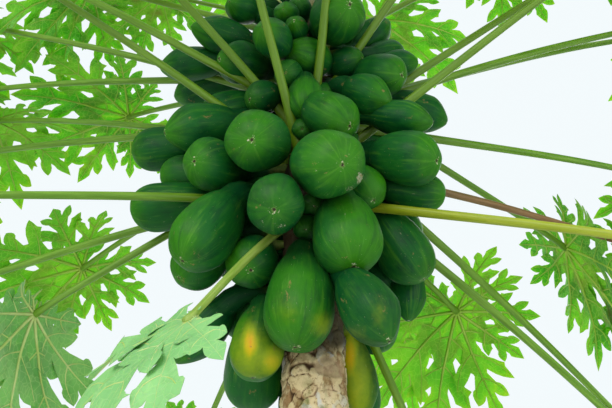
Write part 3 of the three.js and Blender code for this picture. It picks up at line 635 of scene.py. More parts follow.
class Blade:
    """A lobed blade in its own plane, far end along x. Each lobe is a sheet of its own: they share
    the middle of the blade edge to edge and pass over each other further out."""

    def __init__(self, R, droop, rng, fold=.085, detail=1.0, sides=SIDE_LOBES, web=.078, short=(1,) * 9, teeth=.6):
        self.R, self.droop, self.rng, self.web, self.teeth = R, droop, rng, web, teeth
        self.detail = detail
        u = rng.uniform
        self.lobes = [(rad(th + u(-3, 3)), L * R * (1 + u(-.07, .05)) * k) for (th, L), k in zip(LOBES, short)]
        self.fold = fold * u(.6, 1.3)
        n = len(LOBES)
        self.ph = u(0, 6.28, n)
        self.tipdroop = u(.02, .13, n)
        self.wave = u(.008, .020, n)
        self.over = np.array([(1 if i % 2 else -1) * u(.010, .022) for i in range(n)])
        self.side = [[[(t + u(-.010, .010), ln * (1 + u(-.16, .12)), rad(an + u(-3, 3)), w * (1 + u(-.08, .08)))
                       for t, ln, an, w in sides] for _ in (0, 1)] for _ in LOBES]
        self.mid = [(a[0] + b[0]) / 2 for a, b in zip(self.lobes, self.lobes[1:])]
        self.cut = [CUT * R * min(a[1], b[1]) / R * (1 + u(-.1, .1)) for a, b in zip(self.lobes, self.lobes[1:])]

    def at(self, i, t, o):
        th, L = self.lobes[i]
        c, s = math.cos(th), math.sin(th)
        return (L * (t * c - o * s), L * (t * s + o * c))

    def half(self, i, k):
        """One side of a lobe, from the cut out to just short of the tip, as (along, across)."""
        u = self.rng.uniform
        row = []
        sides = self.side[i][k]
        for j, (t0, ln, an, w) in enumerate(sides):
            c, s = math.cos(an), math.sin(an)

            def q(a, b):
                return (t0 + a * ln * c - b * w * s, a * ln * s + b * w * c)
            web = self.web + u(-.008, .008)
            first = web / (ln * s)
            if j:
                row.append(((t0 + first * ln * c - w * s + last) / 2, web))

            def g(f):
                return first + (1 - first) * f
            row += [q(g(.13), .74), q(g(.32), .97)]
            if j < 2 and u(0, 1) < self.teeth:
                row += [q(g(.46), 1.02), q(g(.62), 1.36 + u(-.1, .2)), q(g(.68), .80)]
            else:
                row += [q(g(.54), .94), q(g(.73), .68)]
            row += [q(g(.88), .34), q(1.0, 0), q(g(.89), -.36), q(g(.73), -.70)]
            if j == 1 and u(0, 1) < self.teeth * .6:
                row += [q(g(.62), -1.16 + u(-.1, .1)), q(g(.49), -.92)]
            else:
                row.append(q(g(.51), -.93))
            row.append(q(g(.22), -.93))
            last = t0 + (first + .02) * ln * c + w * s
        end = self.web - .012
        row += [(.845, end + u(-.006, .006)), (.885, end + .014 + u(-.008, .008)), (.925, end - .004), (.965, end * .45)]
        return row

    def outline(self, i):
        th = self.lobes[i][0]
        pts = []
        for k, sgn in enumerate((-1, 1)):
            row = [self.at(i, t, sgn * o) for t, o in self.half(i, k)]
            j = i - 1 if k == 0 else i
            if 0 <= j < len(self.mid):
                m, c = self.mid[j], self.cut[j]
                stem = [(c * f * math.cos(m), c * f * math.sin(m)) for f in (.34, .67, 1.0)]
                # drop the first points where they would fold back over the cut
                while row and np.hypot(*row[0]) < c * 1.06:
                    row.pop(0)
            else:
                stem = [self.at(i, t, sgn * o) for t, o in ((.06, .035), (.13, .055))]
            row = stem + row
            pts.append(row)
        tip = self.at(i, 1.0, 0)
        return np.array([(0.0, 0.0)] + pts[0] + [tip] + pts[1][::-1])

    def height(self, xy, i):
        """Relief over the blade's plane: drooping lobes, folded along their ribs and waved."""
        R = self.R
        x, y = xy[:, 0], xy[:, 1]
        r, th = np.hypot(x, y), np.arctan2(y, x)
        t0, L = self.lobes[i]
        da = (th - t0 + math.pi) % (2 * math.pi) - math.pi
        d = np.abs(da)
        rr = r / R
        o = r * np.sin(np.minimum(d, 1.4)) / L
        t = r * np.cos(np.minimum(d, 1.4)) / L
        z = -self.droop * R * rr ** 2
        z += self.fold * r * np.minimum(d, .30) / .30
        out = smooth(rr, .27, .55)
        z -= .36 * R * np.maximum(0, o - .09) ** 1.5 * out
        z += self.over[i] * R * smooth(rr, .26, .45)
        z += .05 * R * (1 if i % 2 else -1) * np.clip(o, 0, .3) * out
        z += self.wave[i] * R * np.sin(t * 14 + self.ph[i] + 2.0 * np.sign(da)) * np.minimum(o / .15, 1) * out
        z -= self.tipdroop[i] * R * smooth(t, .45, 1.15) ** 1.5
        return z

    def points_inside(self, pts, poly):
        x, y = pts[:, 0][:, None], pts[:, 1][:, None]
        x0, y0 = poly[:, 0][None], poly[:, 1][None]
        x1, y1 = np.roll(poly[:, 0], -1)[None], np.roll(poly[:, 1], -1)[None]
        cross = ((y0 > y) != (y1 > y)) & (x < (x1 - x0) * (y - y0) / np.where(y1 == y0, 1e-9, y1 - y0) + x0)
        return cross.sum(1) % 2 == 1

    def edge_distance(self, pts, poly):
        a, b = poly, np.roll(poly, -1, axis=0)
        ab = b - a
        w = pts[:, None, :] - a[None]
        t = np.clip((w * ab[None]).sum(2) / np.maximum((ab ** 2).sum(1), 1e-12)[None], 0, 1)
        return np.linalg.norm(w - t[..., None] * ab[None], axis=2).min(1)

    def net(self, i):
        """Triangles over one lobe: points, triangles and which points lie on the edge."""
        poly = self.outline(i)
        R = self.R
        spine = [self.at(i, t, 0) for t in np.arange(.08, .97, .07)]
        for k, sgn in enumerate((-1, 1)):
            for t0, ln, an, w in self.side[i][k]:
                spine += [self.at(i, t0 + f * ln * math.cos(an), sgn * f * ln * math.sin(an)) for f in ((.25, .5, .75) if ln > .25 else (.3, .65))]
        spine = np.array(spine)
        step = .088 * R / self.detail
        gx, gy = np.meshgrid(np.arange(-1.1 * R, 1.1 * R, step), np.arange(-1.1 * R, 1.1 * R, step * .866))
        gx = gx + (np.arange(gx.shape[0]) % 2)[:, None] * step * .5
        grid = np.stack([gx.ravel(), gy.ravel()], 1)
        grid += self.rng.uniform(-.12, .12, grid.shape) * step
        grid = grid[np.linalg.norm(grid[:, None] - spine[None], axis=2).min(1) > .45 * step]
        pts = np.concatenate([spine, grid])
        pts = pts[self.points_inside(pts, poly)]
        pts = pts[self.edge_distance(pts, poly) > .014 * R]
        n = len(poly)
        allp = [Vector((float(p[0]), float(p[1]))) for p in np.concatenate([poly, pts])]
        v, _, f, _, _, _ = delaunay_2d_cdt(allp, [], [list(range(n))], 1, 1e-6)
        v = np.array([tuple(q) for q in v])
        f = np.array([list(q) for q in f])
        a, b, c = v[f[:, 0]], v[f[:, 1]], v[f[:, 2]]
        area = (b[:, 0] - a[:, 0]) * (c[:, 1] - a[:, 1]) - (b[:, 1] - a[:, 1]) * (c[:, 0] - a[:, 0])
        f[area < 0] = f[area < 0][:, ::-1]
        e = np.sort(np.concatenate([f[:, [0, 1]], f[:, [1, 2]], f[:, [2, 0]]]), axis=1)
        key = e[:, 0] * len(v) + e[:, 1]
        _, first, count = np.unique(key, return_index=True, return_counts=True)
        edge = np.zeros(len(v), bool)
        edge[e[first[count == 1]].ravel()] = True
        return v, f, edge

    def veins(self, i):
        """Rib lines of a lobe as (points in the plane, half width at each)."""
        out = []
        R = self.R
        L = self.lobes[i][1]
        t = np.linspace(0, .97, 13)
        out.append((np.array([self.at(i, q, 0) for q in t]), R * (.0120 * (1 - t) ** .8 + .0020) * (.75 + .25 * L / R)))
        for k, sgn in enumerate((-1, 1)):
            for t0, ln, an, w in self.side[i][k]:
                q = np.linspace(0, .93, 5)
                bow = .02 * np.sin(q * math.pi)
                pts = np.array([self.at(i, t0 + a * ln * math.cos(an) - b, sgn * (a * ln * math.sin(an) + b)) for a, b in zip(q, bow)])
                out.append((pts, R * (.0052 * (1 - q) + .0012)))
        return out


def blade_frame(az, pitch, yaw, roll):
    X = direction(az + yaw, pitch)
    Y0 = unit(np.cross((0, 0, 1), X))
    Z0 = np.cross(X, Y0)
    Y = Y0 * math.cos(rad(roll)) + Z0 * math.sin(rad(roll))
    return X, Y, np.cross(X, Y)


def cell_uv(uv, cell, cols, rows, pad=.04):
    cx, cy = cell % cols, cell // cols
    return (np.array([cx, cy]) + pad + (1 - 2 * pad) * uv) / np.array([cols, rows])


def add_blade(bag, veins, blade, E, X, Y, Z, cells_at, grid, mats, tone, brown=None, thick=.0011, vein_mat=0):
    R = blade.R
    for i in range(len(blade.lobes)):
        v, f, edge = blade.net(i)
        z = blade.height(v, i)
        half = np.where(edge, thick * .14, thick / 2)
        mid = E + v[:, :1] * X + v[:, 1:] * Y + z[:, None] * Z
        uv0 = (v / R + 1.12) / 2.24
        b = np.zeros(len(v)) if brown is None else brown(mid)
        rr = np.hypot(v[:, 0], v[:, 1]) / R
        for side, cell in ((1, cells_at[0]), (-1, cells_at[1])):
            ff = f if side > 0 else f[:, ::-1]
            p = mid + (side * half)[:, None] * Z
            bag.add(p, ff, cell_uv(np.clip(uv0, 0, 1)[ff], cell, *grid), mats[0] if side > 0 else mats[1], tone=tone, brown=b, out=rr)
        for line, w in blade.veins(i):
            h = blade.height(line, i)
            c = E + line[:, :1] * X + line[:, 1:] * Y + h[:, None] * Z
            t = np.gradient(c, axis=0)
            t /= np.linalg.norm(t, axis=1)[:, None]
            s = np.cross(Z, t)
            s /= np.linalg.norm(s, axis=1)[:, None]
            up = np.cross(t, s)
            w = w[:, None]
            ring = np.stack([c + s * w, c + up * (thick * .5 + .10 * w), c - s * w, c - up * (thick * .5 + .95 * w)], 1)
            ff, uv = tube_faces(len(line), 4)
            veins.add(ring.reshape(-1, 3), ff, uv * .98 + .01, vein_mat, tone=tone)


def stalk_line(leaf, n, into):
    z, az, el, length = leaf[0] / 1000, leaf[1], leaf[2], leaf[3] / 1000
    foot, d = axis_at(z), direction(az, el)
    s0 = (trunk_r(z) - into) / max(math.cos(rad(el)), .35)
    q = np.linspace(0, 1, n) ** 1.25
    s = s0 + (length - s0) * q
    p = foot + s[:, None] * d
    p[:, 2] -= SAG * length * (s / length) ** 2.6
    return p, s - s0


STALKS, BLADES, VEINS = Bag(), [Bag(), Bag()], Bag()
NSIDE = 14
for li, leaf in enumerate(LEAVES, 1):
    z, az, el, length, R, pitch, yaw, roll, droop = leaf
    rng = np.random.default_rng(1000 + li)
    length, R = length / 1000, R / 1000
    k = min(1.0, (R / .29) ** .6)
    line, s = stalk_line(leaf, 30, .012)
    u = s / s[-1]
    r = (PETIOLE_R0 + (PETIOLE_R1 - PETIOLE_R0) * u) * k * .82
    r = r + .0085 * k * np.exp(-s / .022) + .0022 * np.exp(-(s[-1] - s) / .012)
    # a little sideways wander, none at the ends
    side = unit(np.cross((0, 0, 1), line[-1] - line[0]))
    wander = np.sin(u * math.pi) * (np.sin(u * 5 + rng.uniform(0, 6)) * .004)
    line = line + wander[:, None] * side
    a = 2 * math.pi * np.arange(NSIDE) / NSIDE
    rr = r[:, None] * (1 + .035 * np.cos(2 * a + 1.2)[None] + .02 * np.cos(5 * a)[None])
    verts = rings(line, rr, NSIDE)
    E = line[-1]
    verts = np.concatenate([verts, [E + (line[-1] - line[-2]) * .15]])
    ff, uv = tube_faces(30, NSIDE)
    cell = li - 1
    uv = np.stack([(cell % 19 + .05 + .9 * uv[..., 0]) / 19, (cell // 19 + .02 + .96 * uv[..., 1]) / 2], 2)
    loc = np.stack([np.tile(np.cos(a), 30), np.tile(np.sin(a), 30), np.repeat(s / .02, NSIDE)], 1) + rng.uniform(0, 50, 3)
    loc = np.concatenate([loc, loc[-1:]])
    # olive towards the foot, and painted shade on stalks rising from 12 degrees, full at 40
    basal = np.concatenate([np.repeat(np.maximum(np.exp(-s / .30), .60 * smooth(el, 12, 40)), NSIDE), [0]])
    mat = 2 if li in DRY_STALK else 1 if li in YELLOW_STALK else 3 if li == 2 else 0
    STALKS.add(verts, ff, uv, mat, loc=loc, base=basal)
    capf = cap_faces(np.arange(29 * NSIDE, 30 * NSIDE), 30 * NSIDE, False)
    STALKS.f.append(capf + STALKS.n - len(verts))
    STALKS.uv.append(np.full((len(capf), 3, 2), .001))
    STALKS.m.append(np.full(len(capf), mat))
    X, Y, Z = blade_frame(az, pitch, yaw, roll)
    blade = Blade(R * (.92 if li == 2 else 1.0), droop, rng, sides=BROAD_SIDES, web=.108, short=SHORT[li], teeth=.2) if li in PALE else Blade(R * 1.06, droop, rng, web=.068, short=SHORT.get(li, (1,) * 9))
    bag = BLADES[li % 2]
    cell = (li - 1) // 2 * 2
    pale = li in PALE
    tone = rng.uniform(0, .6)

    def brown(p, li=li):
        x, y, _ = to_photo(p)
        b = .9 * smooth(-(((x - 205) / 7) ** 2 + ((y - 371) / 5) ** 2), -1.6, -.3) if li == 2 else np.zeros(len(p))
        worn = vnoise(p * 22, 40 + li)
        return np.maximum(b, .55 * smooth(worn, .86, .95))
    add_blade(bag, VEINS, blade, E, X, Y, Z, (cell, cell + 1), (7, 6), (2, 3) if pale else (0, 1), tone, brown, vein_mat=int(pale))

LEAF_NODES = [f"leaf_{i:02d}" for i in range(1, len(LEAVES) + 1)]
stalks = STALKS.build("leaf_stalks", [STALK, STALK_YELLOW, STALK_DRY, STALK_PALE])
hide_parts(*LEAF_NODES)
for name, bag, par in (("leaf_blades_a", BLADES[1], 0), ("leaf_blades_b", BLADES[0], 1)):
    ob = bag.build(name, [UPPER, UNDER, PALE_UP, PALE_UNDER])
    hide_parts(*LEAF_NODES[par::2])
veins = VEINS.build("leaf_ribs", [VEIN, VEIN_PALE])


# ---- fruit -----------------------------------------------------------------------------------------------
# patches of ripening: fruit number, then centre, half width and height in the photo, and strength
RIPE = {
    38: [(250, 343, 8, 18, 1.02), (271, 361, 14, 17, .66), (250, 356, 24, 32, .44)],
    6: [(323, 325, 13, 14, .34), (288, 312, 15, 14, .20)],
    7: [(379, 312, 9, 17, .20), (357, 334, 14, 10, .20)],
    200: [(350, 356, 9, 26, .84), (357, 392, 17, 52, .50)],
}
CRUST = {2: [(360, 178, 5, 9, .70), (351, 189, 9, 4, .54)], 3: [(281, 226, 9, 4, .5), (262, 222, 5, 4, .42)], 4: [(232, 190, 10, 4, .5), (181, 258, 5, 4, .42)],
         34: [(236, 190, 6, 4, .45)], 11: [(386, 172, 5, 3, .45)], 13: [(405, 205, 5, 3, .4)]}
SHADED_FRUIT = {3: .45, 7: .70, 41: .2, 8: .2}     # fruit painted darker: painted shade where their neighbours shade them
NU, NV, NECKS = ((38, 26, 9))


def add_fruit(bag, row, number, cell, grid, dark=0.0):
    az, z, rho, r, ln, lt, el, da = row
    z, rho, r, ln, lt = z / 1000, rho / 1000, r / 1000, ln / 1000, lt / 1000
    rng = np.random.default_rng(5000 + int(number * 7))
    c = axis_at(z) + direction(az, 0) * rho
    d = direction(da, el)
    e1 = unit(np.cross(d, (0.13, 0.21, 1.0)))
    e2 = np.cross(d, e1)
    # rows from the neck to the tip, closer at the ends
    w = .5 - .5 * np.cos(np.linspace(.15, 1, NV) * np.pi)
    w = (w - w[0]) / (1 - w[0])
    NECK = .80
    s = -NECK * ln + (NECK * ln + lt) * w
    x = np.where(s < 0, -s / ln, s / lt)
    pointed = lt > 1.24 * r
    narrow = (1 - x ** 2.6).clip(0) ** .6 * (1 - .1 * x)
    tip = (1 - x ** 1.62).clip(0) ** .80 if pointed else (1 - x ** 2.3).clip(0) ** .5
    prof = r * np.where(s < 0, narrow, tip)
    a = 2 * np.pi * np.arange(NU) / NU
    ph = rng.uniform(0, 6.28)
    toward = smooth(s / lt, .1, .9)
    ribs = 1 + (.020 + (.040 if pointed else .008) * toward)[:, None] * np.cos(5 * a + ph)[None] * smooth(s, -ln, 0)[:, None]
    lump = 1 + .03 * np.cos(2 * a + rng.uniform(0, 6))[None] + .018 * np.cos(3 * a + rng.uniform(0, 6))[None] * np.cos(4 * w + rng.uniform(0, 3))[:, None]
    rad_ = prof[:, None] * ribs * lump
    # a shallow dimple at the tip
    bend = rng.uniform(-.05, .05) * (s / (ln + lt)) ** 2 * (ln + lt)
    pit = -.0022 * np.exp(-((prof / r) / .16) ** 2) * (s > 0)
    ring = np.cos(a)[None, :, None] * e1 + np.sin(a)[None, :, None] * e2
    body = c + (s + pit)[:, None, None] * d + bend[:, None, None] * e1 + rad_[..., None] * ring
    # its neck, bending in to the trunk and ending as the stalk
    join = c - d * ln * NECK + bend[0] * e1
    zt = min(join[2] + .02, 2.9)
    out = join - axis_at(zt)
    out[2] = 0
    hub = axis_at(zt) + unit(out) * trunk_r(zt) * .8
    gap = np.linalg.norm(join - hub)
    q = np.linspace(0, 1, NECKS, endpoint=False)[:, None]
    c1, c2 = hub + unit(out) * .30 * gap, join - d * .42 * gap
    line = (1 - q) ** 3 * hub + 3 * q * (1 - q) ** 2 * c1 + 3 * q ** 2 * (1 - q) * c2 + q ** 3 * join
    tan = np.gradient(np.concatenate([line, [join]]), axis=0)[:-1]
    tan /= np.linalg.norm(tan, axis=1)[:, None]
    stem = .0078 * min(1, (r / .045) ** .7)
    full = prof[0]
    rn = stem + (full - stem) * (.36 * smooth(q[:, 0], .20, .45) + .64 * smooth(q[:, 0], .30, 1.0))
    rows = []
    for k in range(NECKS):
        ax = np.cross(d, tan[k])
        sn, cs = np.linalg.norm(ax), float(d @ tan[k])
        ax = ax / max(sn, 1e-9)
        turn = [v * cs + np.cross(ax, v) * sn + ax * (ax @ v) * (1 - cs) for v in (e1, e2)]
        shape = 1 + (ribs[0] * lump[0] - 1) * (rn[k] - stem) / max(full - stem, 1e-6)
        rows.append(line[k] + (rn[k] * shape)[:, None] * (np.cos(a)[:, None] * turn[0] + np.sin(a)[:, None] * turn[1]))
    back = np.concatenate([np.linalg.norm(np.diff(np.concatenate([line, [join]]), axis=0), axis=1)[::-1].cumsum()[::-1]])
    p = np.concatenate([np.array(rows), body]).reshape(-1, 3)
    s_all = np.concatenate([s[0] - back, s])
    r_all = np.concatenate([np.repeat(rn[:, None], NU, 1), rad_])
    n = len(p)
    f, uv = tube_faces(NECKS + NV, NU)
    ped = np.repeat(np.concatenate([1 - smooth(q[:, 0], .18, .5), np.zeros(NV)]), NU)
    dist = np.repeat((lt - s_all).clip(0), NU)
    rr = r_all.ravel()
    tipd = np.hypot(dist * .9, rr) / r
    tipd = np.where(np.repeat(s_all, NU) > 0, tipd, 2.0)
    rib = np.tile(.5 + .5 * np.cos(5 * a + ph + math.pi), NECKS + NV)
    loc = np.stack([rr * np.tile(np.cos(a), NECKS + NV), rr * np.tile(np.sin(a), NECKS + NV), np.repeat(s_all, NU)], 1) / .05 + rng.uniform(0, 80, 3)
    ray = np.stack([np.tile(np.cos(a), NECKS + NV), np.tile(np.sin(a), NECKS + NV), np.repeat(s_all, NU) * 2.4], 1) + np.array([7.3, 3.1, 5.7]) * (number % 23 + 1)
    neckd = np.repeat(smooth(-s_all / ln, .25, 1.0), NU)
    blush = np.zeros(n)
    normal = p - (c + np.repeat(s_all, NU)[:, None] * d)
    face = smooth(-(normal * (p - CAM)).sum(1) / np.maximum(np.linalg.norm(normal, axis=1), 1e-6), -.1, .25)
    facing = -((p - c) * (p - CAM)).sum(1) / np.linalg.norm(p - c, axis=1)
    for cx, cy, wx, wy, k in RIPE.get(number, ()):
        u_, v_, _ = to_photo(p)
        blush = np.maximum(blush, k * np.exp(-(((u_ - cx) / wx) ** 2 + ((v_ - cy) / wy) ** 2)) * face)
    crust = np.zeros(n)
    for cx, cy, wx, wy, k in CRUST.get(number, ()):
        u_, v_, _ = to_photo(p)
        crust = np.maximum(crust, k * np.exp(-(((u_ - cx) / wx) ** 2 + ((v_ - cy) / wy) ** 2)) * smooth(facing, -.12, .06))
    # painted shade: fruit set dark lose most of their lighter tone and outward green, and take the deep neck green all
    # over
    tone = (rng.uniform(0, .45) + (.08 if z < 2.35 else 0)) * (1 - max(dark, SHADED_FRUIT.get(number, 0)))
    # painted light: the side turned out from the trunk and a little up is painted a lighter green, and the other sides
    # a darker teal, as if lit and shaded
    mid_line = np.concatenate([line, c + (s + pit)[:, None] * d + bend[:, None] * e1])
    off = p - np.repeat(mid_line, NU, axis=0) + np.repeat(s_all.clip(0), NU)[:, None] * d * .8
    off /= np.maximum(np.linalg.norm(off, axis=1), 1e-6)[:, None]
    belly = smooth((off * (direction(az, -4) * .8 + d * .3)).sum(1), .22, 1.0) * (1 - neckd) * (1 - max(dark, SHADED_FRUIT.get(number, 0)))
    if pointed:
        tone *= .5
    bag.add(p, f, cell_uv(uv, cell, *grid), 0, loc=loc, ray=ray, ped=ped, tone=tone, tip=tipd, rib=rib, neck=np.maximum(neckd, max(dark, .8 * SHADED_FRUIT.get(number, 0))), blush=blush, belly=belly, crust=crust)


FRONT_BAG, BACK_BAG = Bag(), Bag()
for i, row in enumerate(FRONT, 1):
    add_fruit(FRONT_BAG, row, i, i - 1, (8, 8))
# fruit deep in the cluster, filling the gaps between the others, get dark=.45: painted shade
for i, row in enumerate(DEEP):
    add_fruit(FRONT_BAG, row, 100 + i, len(FRONT) + i, (8, 8), dark=.45)
for i, row in enumerate(BACK):
    add_fruit(BACK_BAG, row, 200 + i, i, (7, 7))
for i, row in enumerate(YOUNG):
    add_fruit(BACK_BAG, row, 300 + i, len(BACK) + i, (7, 7))
front = FRONT_BAG.build("fruit_front", [FRUIT_SKIN])
back = BACK_BAG.build("fruit_back", [FRUIT_SKIN])
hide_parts("fruit_lower_front", "fruit_middle_front", "fruit_upper_front")
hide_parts("fruit_lower_back", "fruit_middle_back", "fruit_upper_back")


# ---- youngest leaves and flowers at the tip -------------------------------------------------------------------
TIP_COUNT = 11
TIP_BAG, TIP_STALKS = Bag(), Bag()
for k in range(TIP_COUNT):
    rng = np.random.default_rng(9000 + k)
    age = 1 - k / (TIP_COUNT - 1)                 # 1 the oldest, 0 the youngest
    az = (k * 137.508 + 20) % 360
    zf = 2.900 + .045 * (1 - age)
    el = 62 + 22 * (1 - age) + rng.uniform(-3, 3)
    length = .36 * age ** .8 + .055
    R = .088 * age ** .8 + .020
    q = np.linspace(0, 1, 14)
    d = direction(az, el)
    foot = axis_at(zf)
    line = foot + (q * length)[:, None] * d + (.10 * length * q ** 2)[:, None] * direction(az, -10)
    r = (.0052 - .0022 * q) * (.45 + .55 * age) + .004 * np.exp(-q * length / .012) * age
    ff, uv = tube_faces(14, 10)
    loc = np.stack([np.tile(np.cos(np.arange(10) * .628), 14), np.tile(np.sin(np.arange(10) * .628), 14), np.repeat(q * length / .02, 10)], 1) + 5 * k
    TIP_STALKS.add(rings(line, r, 10), ff, np.stack([(k + .05 + .9 * uv[..., 0]) / TIP_COUNT, uv[..., 1]], 2), 0, loc=loc, base=0.0)
    X, Y, Z = blade_frame(az, 28 - 62 * age + 48 * (1 - age), rng.uniform(-12, 12), rng.uniform(-10, 10))
    blade = Blade(R, .25 - .75 * (1 - age), rng, fold=.45 + .5 * (1 - age), detail=.8)
    add_blade(TIP_BAG, TIP_BAG, blade, line[-1], X, Y, Z, (2 * k, 2 * k + 1), (5, 5), (0, 1), .3, None, .0009, 2)
tip = TIP_BAG.build("crown_tip_leaves", [YOUNG_LEAF, YOUNG_LEAF, VEIN])
tip_stalks = TIP_STALKS.build("crown_tip_stalks", [STALK])
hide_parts("crown_tip")


def petal(bag, base, d, out, length, width, mat, curl):
    """One pointed petal, a thin closed leaf of a shape, bending outwards."""
    n = 7
    t = np.linspace(0, 1, n)
    wide = width * np.sin(np.pi * (t * .86 + .10)) ** .8
    side = unit(np.cross(d, out))
    mid = base + (t * length)[:, None] * d + (curl * length * t ** 2)[:, None] * out
    rows = []
    for k in range(n):
        rows += [mid[k] - side * wide[k] + out * wide[k] * .25, mid[k] + out * .0006, mid[k] + side * wide[k] + out * wide[k] * .25, mid[k] - out * .0010]
    f, uv = tube_faces(n, 4)
    bag.add(np.array(rows), f, uv, mat)


FLOWERS = Bag()
for k in range(20):
    rng = np.random.default_rng(700 + k)
    zf = 2.66 + .24 * (k / 19)
    az = (k * 137.508 + 200) % 360
    base = axis_at(zf) + direction(az, 0) * trunk_r(zf) * .8
    d = direction(az + rng.uniform(-20, 20), rng.uniform(5, 45))
    length = rng.uniform(.035, .075)
    q = np.linspace(0, 1, 5)
    line = base + (q * length)[:, None] * d + (.3 * length * q ** 2)[:, None] * np.array([0, 0, 1.0])
    f, uv = tube_faces(5, 6)
    FLOWERS.add(rings(line, np.full(5, .0022), 6), f, uv, 1)
    head, dd = line[-1], unit(line[-1] - line[-2])
    n = 9
    t = np.linspace(0, 1, n)
    closed = k % 3 == 1
    long = .030 if closed else .026
    body = head + (t * long)[:, None] * dd
    rb = (.0068 if closed else .0052) * np.sin(np.pi * (t * .90 + .07)) ** .7
    f, uv = tube_faces(n, 8)
    FLOWERS.add(rings(body, rb, 8), f, uv, 1 if closed else 0)
    if not closed:
        e1 = unit(np.cross(dd, (.3, .1, 1)))
        e2 = np.cross(dd, e1)
        for j in range(5):
            a = 2 * math.pi * j / 5 + k
            out = e1 * math.cos(a) + e2 * math.sin(a)
            petal(FLOWERS, head + dd * long * .55 + out * .003, dd, out, .026, .0055, 0, .75)
flowers = FLOWERS.build("blossom", [PETAL, BUD])


# ---- trunk ---------------------------------------------------------------------------------------------------------
NZ, NA = ((660, 136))
even = np.linspace(0, TRUNK_TIP_Z, 2000)
crowd = np.cumsum(1 + 1.6 * np.exp(-((even - 1.83) / .24) ** 4))
zz = np.interp(np.linspace(crowd[0], crowd[-1], NZ), crowd, even)
aa = 2 * np.pi * np.arange(NA) / NA
Z2, A2 = np.meshgrid(zz, aa, indexing="ij")
base_r = trunk_r(Z2)
flare = np.clip(1 - Z2 / .40, 0, 1) ** 2
base_r = base_r * (1 + .10 * flare * np.cos(5 * A2) + .03 * flare * np.cos(3 * A2 + 1))
P2 = np.stack([np.cos(A2) * .06, np.sin(A2) * .06, Z2], -1).reshape(-1, 3)
old = 1 - smooth(Z2.ravel(), 2.25, 2.75)           # the stem under the fruit is barked
# flaking plates
w1, w2 = fbm(P2 * 24, 3, 3) * 1.1, fbm(P2 * 24, 3, 5) * 1.1
d1, d2, num = cells(np.stack([P2[:, 0] * 25 + w1, P2[:, 1] * 25 + w2, P2[:, 2] * 23 + w1 - w2], 1), 11)
e1_, e2_, num2 = cells(np.stack([P2[:, 0] * 62 + w2, P2[:, 1] * 62 + w1, P2[:, 2] * 50 + w2], 1), 91)
seam = .35 + .65 * smooth(fbm(P2 * 15, 3, 97), .38, .62)
crack = np.maximum((1 - smooth(d2 - d1, .0, .085)) * seam, .7 * (1 - smooth(e2_ - e1_, .01, .10)) * smooth(vnoise(P2 * 17, 93), .48, .62))
plate = .62 * num + .38 * num2
lift = (.30 + .70 * num) * smooth(d2 - d1, .0, .10) + .35 * num2 * smooth(e2_ - e1_, 0, .1)
rough = fbm(P2 * 95, 4, 21) - .5
# upright furrows near the foot and rings of old leaf bases
furrow = smooth(fbm(np.stack([P2[:, 0] * 60, P2[:, 1] * 60, P2[:, 2] * 9], 1), 4, 31), .50, .68) * (1 - smooth(Z2.ravel(), .15, 1.0))
# leaf scars: shield shapes on the plant's spiral, wide apart on the old stem
scar = np.zeros(NZ * NA)
scar_h = np.zeros(NZ * NA)
ang = A2.ravel()
count = 66
for k in range(count):
    q = k / (count - 1)
    zk = .16 + 1.98 * q ** .92
    ak = k * rad(137.508) + .4
    rk = float(trunk_r(zk))
    wide = .030 + .006 * math.sin(k * 1.7)
    tall = wide * .62
    da = (ang - ak + np.pi) % (2 * np.pi) - np.pi
    x = da * rk / wide
    y = (Z2.ravel() - zk) / tall
    near = (np.abs(x) < 1.6) & (np.abs(y) < 1.8)
    rr = np.sqrt(x[near] ** 2 + (y[near] + .35 * x[near] ** 2 - .15) ** 2)
    inside = 1 - smooth(rr, .78, .98)
    rim = np.exp(-((rr - 1.0) / .13) ** 2)
    fade = .55 + .45 * q
    scar[near] = np.maximum(scar[near], inside * fade)
    scar_h[near] = (rim * .0017 - inside * .0009 + .0011 * np.exp(-((rr - .45) / .10) ** 2)) * fade
body = old * (.0026 * lift + .0022 * rough - .0014 * crack) * (1 - .6 * scar) + scar_h - .0016 * furrow
body = body + (.0020 * (fbm(P2 * 9, 3, 51) - .5) * 4) + .0012 * np.sin(Z2.ravel() * 2 * np.pi / .052 + 1.5 * fbm(P2 * 8, 2, 61) * 6) * old * .5
edge = smooth(Z2.ravel(), 0, .012)
R3 = base_r.ravel() + body * edge
ax = axis_at(Z2.ravel())
verts = ax + np.stack([np.cos(ang) * R3, np.sin(ang) * R3, np.zeros_like(R3)], 1)
ff, uv = tube_faces(NZ, NA)
TRUNK = Bag()
crack_v = np.clip(crack * .9 * old + furrow * .34, 0, 1) * (1 - .7 * scar)
green = smooth(vnoise(P2 * 13, 71), .55, .8) * smooth(Z2.ravel(), 1.2, 1.9) * .8 + .5 * smooth(vnoise(P2 * 7, 72), .6, .85)
fresh = smooth(Z2.ravel(), 2.66, 2.88)
# where the painted shade goes: the stem from just under the lowest fruit up to the crown
shade = smooth(Z2.ravel() + .05 * (vnoise(P2 * 30, 81) - .5), 1.930, 1.972) * (1 - smooth(Z2.ravel(), 2.66, 2.8))
extra = np.concatenate([verts, [[0, 0, 0], axis_at(TRUNK_TIP_Z + .004)]])
pad = lambda a, b=0.0: np.concatenate([a, [b, b]])
TRUNK.add(extra, ff, uv, 0, plate=pad(plate), crack=pad(crack_v), scar=pad(scar), green=pad(np.clip(green, 0, 1)), fresh=pad(fresh), shade=pad(shade), aged=pad(1 - smooth(Z2.ravel(), .25, 1.5)))
nv = NZ * NA
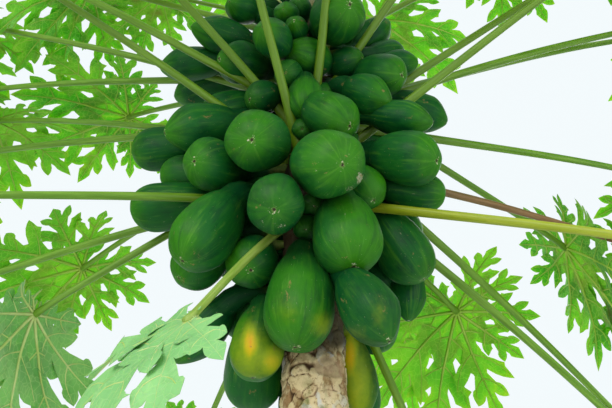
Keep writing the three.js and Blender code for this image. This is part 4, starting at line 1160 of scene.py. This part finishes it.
for capf in (cap_faces(np.arange(NA), nv, True), cap_faces(np.arange((NZ - 1) * NA, nv), nv + 1, False)):
    TRUNK.f.append(capf)
    TRUNK.uv.append(np.full((len(capf), 3, 2), .001))
    TRUNK.m.append(np.zeros(len(capf), int))
trunk = TRUNK.build("trunk_bark", [BARK])
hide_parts("trunk")


# ---- floor, light, world, camera -----------------------------------------------------------------------------------------
def floor():
    me = bpy.data.meshes.new("floor")
    n, s = 96, 60.0
    me.from_pydata([(s * math.cos(2 * math.pi * k / n), s * math.sin(2 * math.pi * k / n), 0) for k in range(n)], [], [tuple(range(n))])
    ob = bpy.data.objects.new("floor", me)
    bpy.context.scene.collection.objects.link(ob)
    m = Mat("floor")
    n = m.noise(m.coords(), 3.0, 2.0)
    m.color(m.mix((.70, .715, .72, 1), (.74, .75, .75, 1), n))
    m.set(Roughness=.9)
    me.materials.append(m.m)


floor()


def area(name, at, look, size, power, color=(1, 1, 1)):
    d = bpy.data.lights.new(name, "AREA")
    d.shape = "DISK"
    d.size = size
    d.energy = power
    d.color = color
    ob = bpy.data.objects.new(name, d)
    ob.location = at
    ob.rotation_euler = (Vector(look) - Vector(at)).to_track_quat("-Z", "Y").to_euler()
    bpy.context.scene.collection.objects.link(ob)


area("key", (-2.0, -4.2, 4.2), (0, 0, 2.3), 4.0, 125, (1.0, .98, .92))
area("fill", (3.2, -3.0, 1.6), (0, 0, 2.3), 3.5, 30, (.95, .98, 1.0))
area("back", (1.2, 4.2, 4.4), (0, 0, 2.6), 3.5, 60, (.98, 1.0, 1.0))

world = bpy.data.worlds.new("sky")
bpy.context.scene.world = world
world.use_nodes = True
bg = world.node_tree.nodes["Background"]
bg.inputs[0].default_value = (.90, .96, .98, 1)
bg.inputs[1].default_value = 1.0

cam = bpy.data.cameras.new("camera")
cam.sensor_width = 36.0
cam.lens = 36.0 * FOCAL_PX / 612.0
cam.clip_start = .02
camera = bpy.data.objects.new("camera", cam)
camera.location = CAM
camera.rotation_euler = (rad(90 + PITCH), 0, 0)
bpy.context.scene.collection.objects.link(camera)
bpy.context.scene.camera = camera
bpy.context.scene.view_settings.view_transform = "Standard"
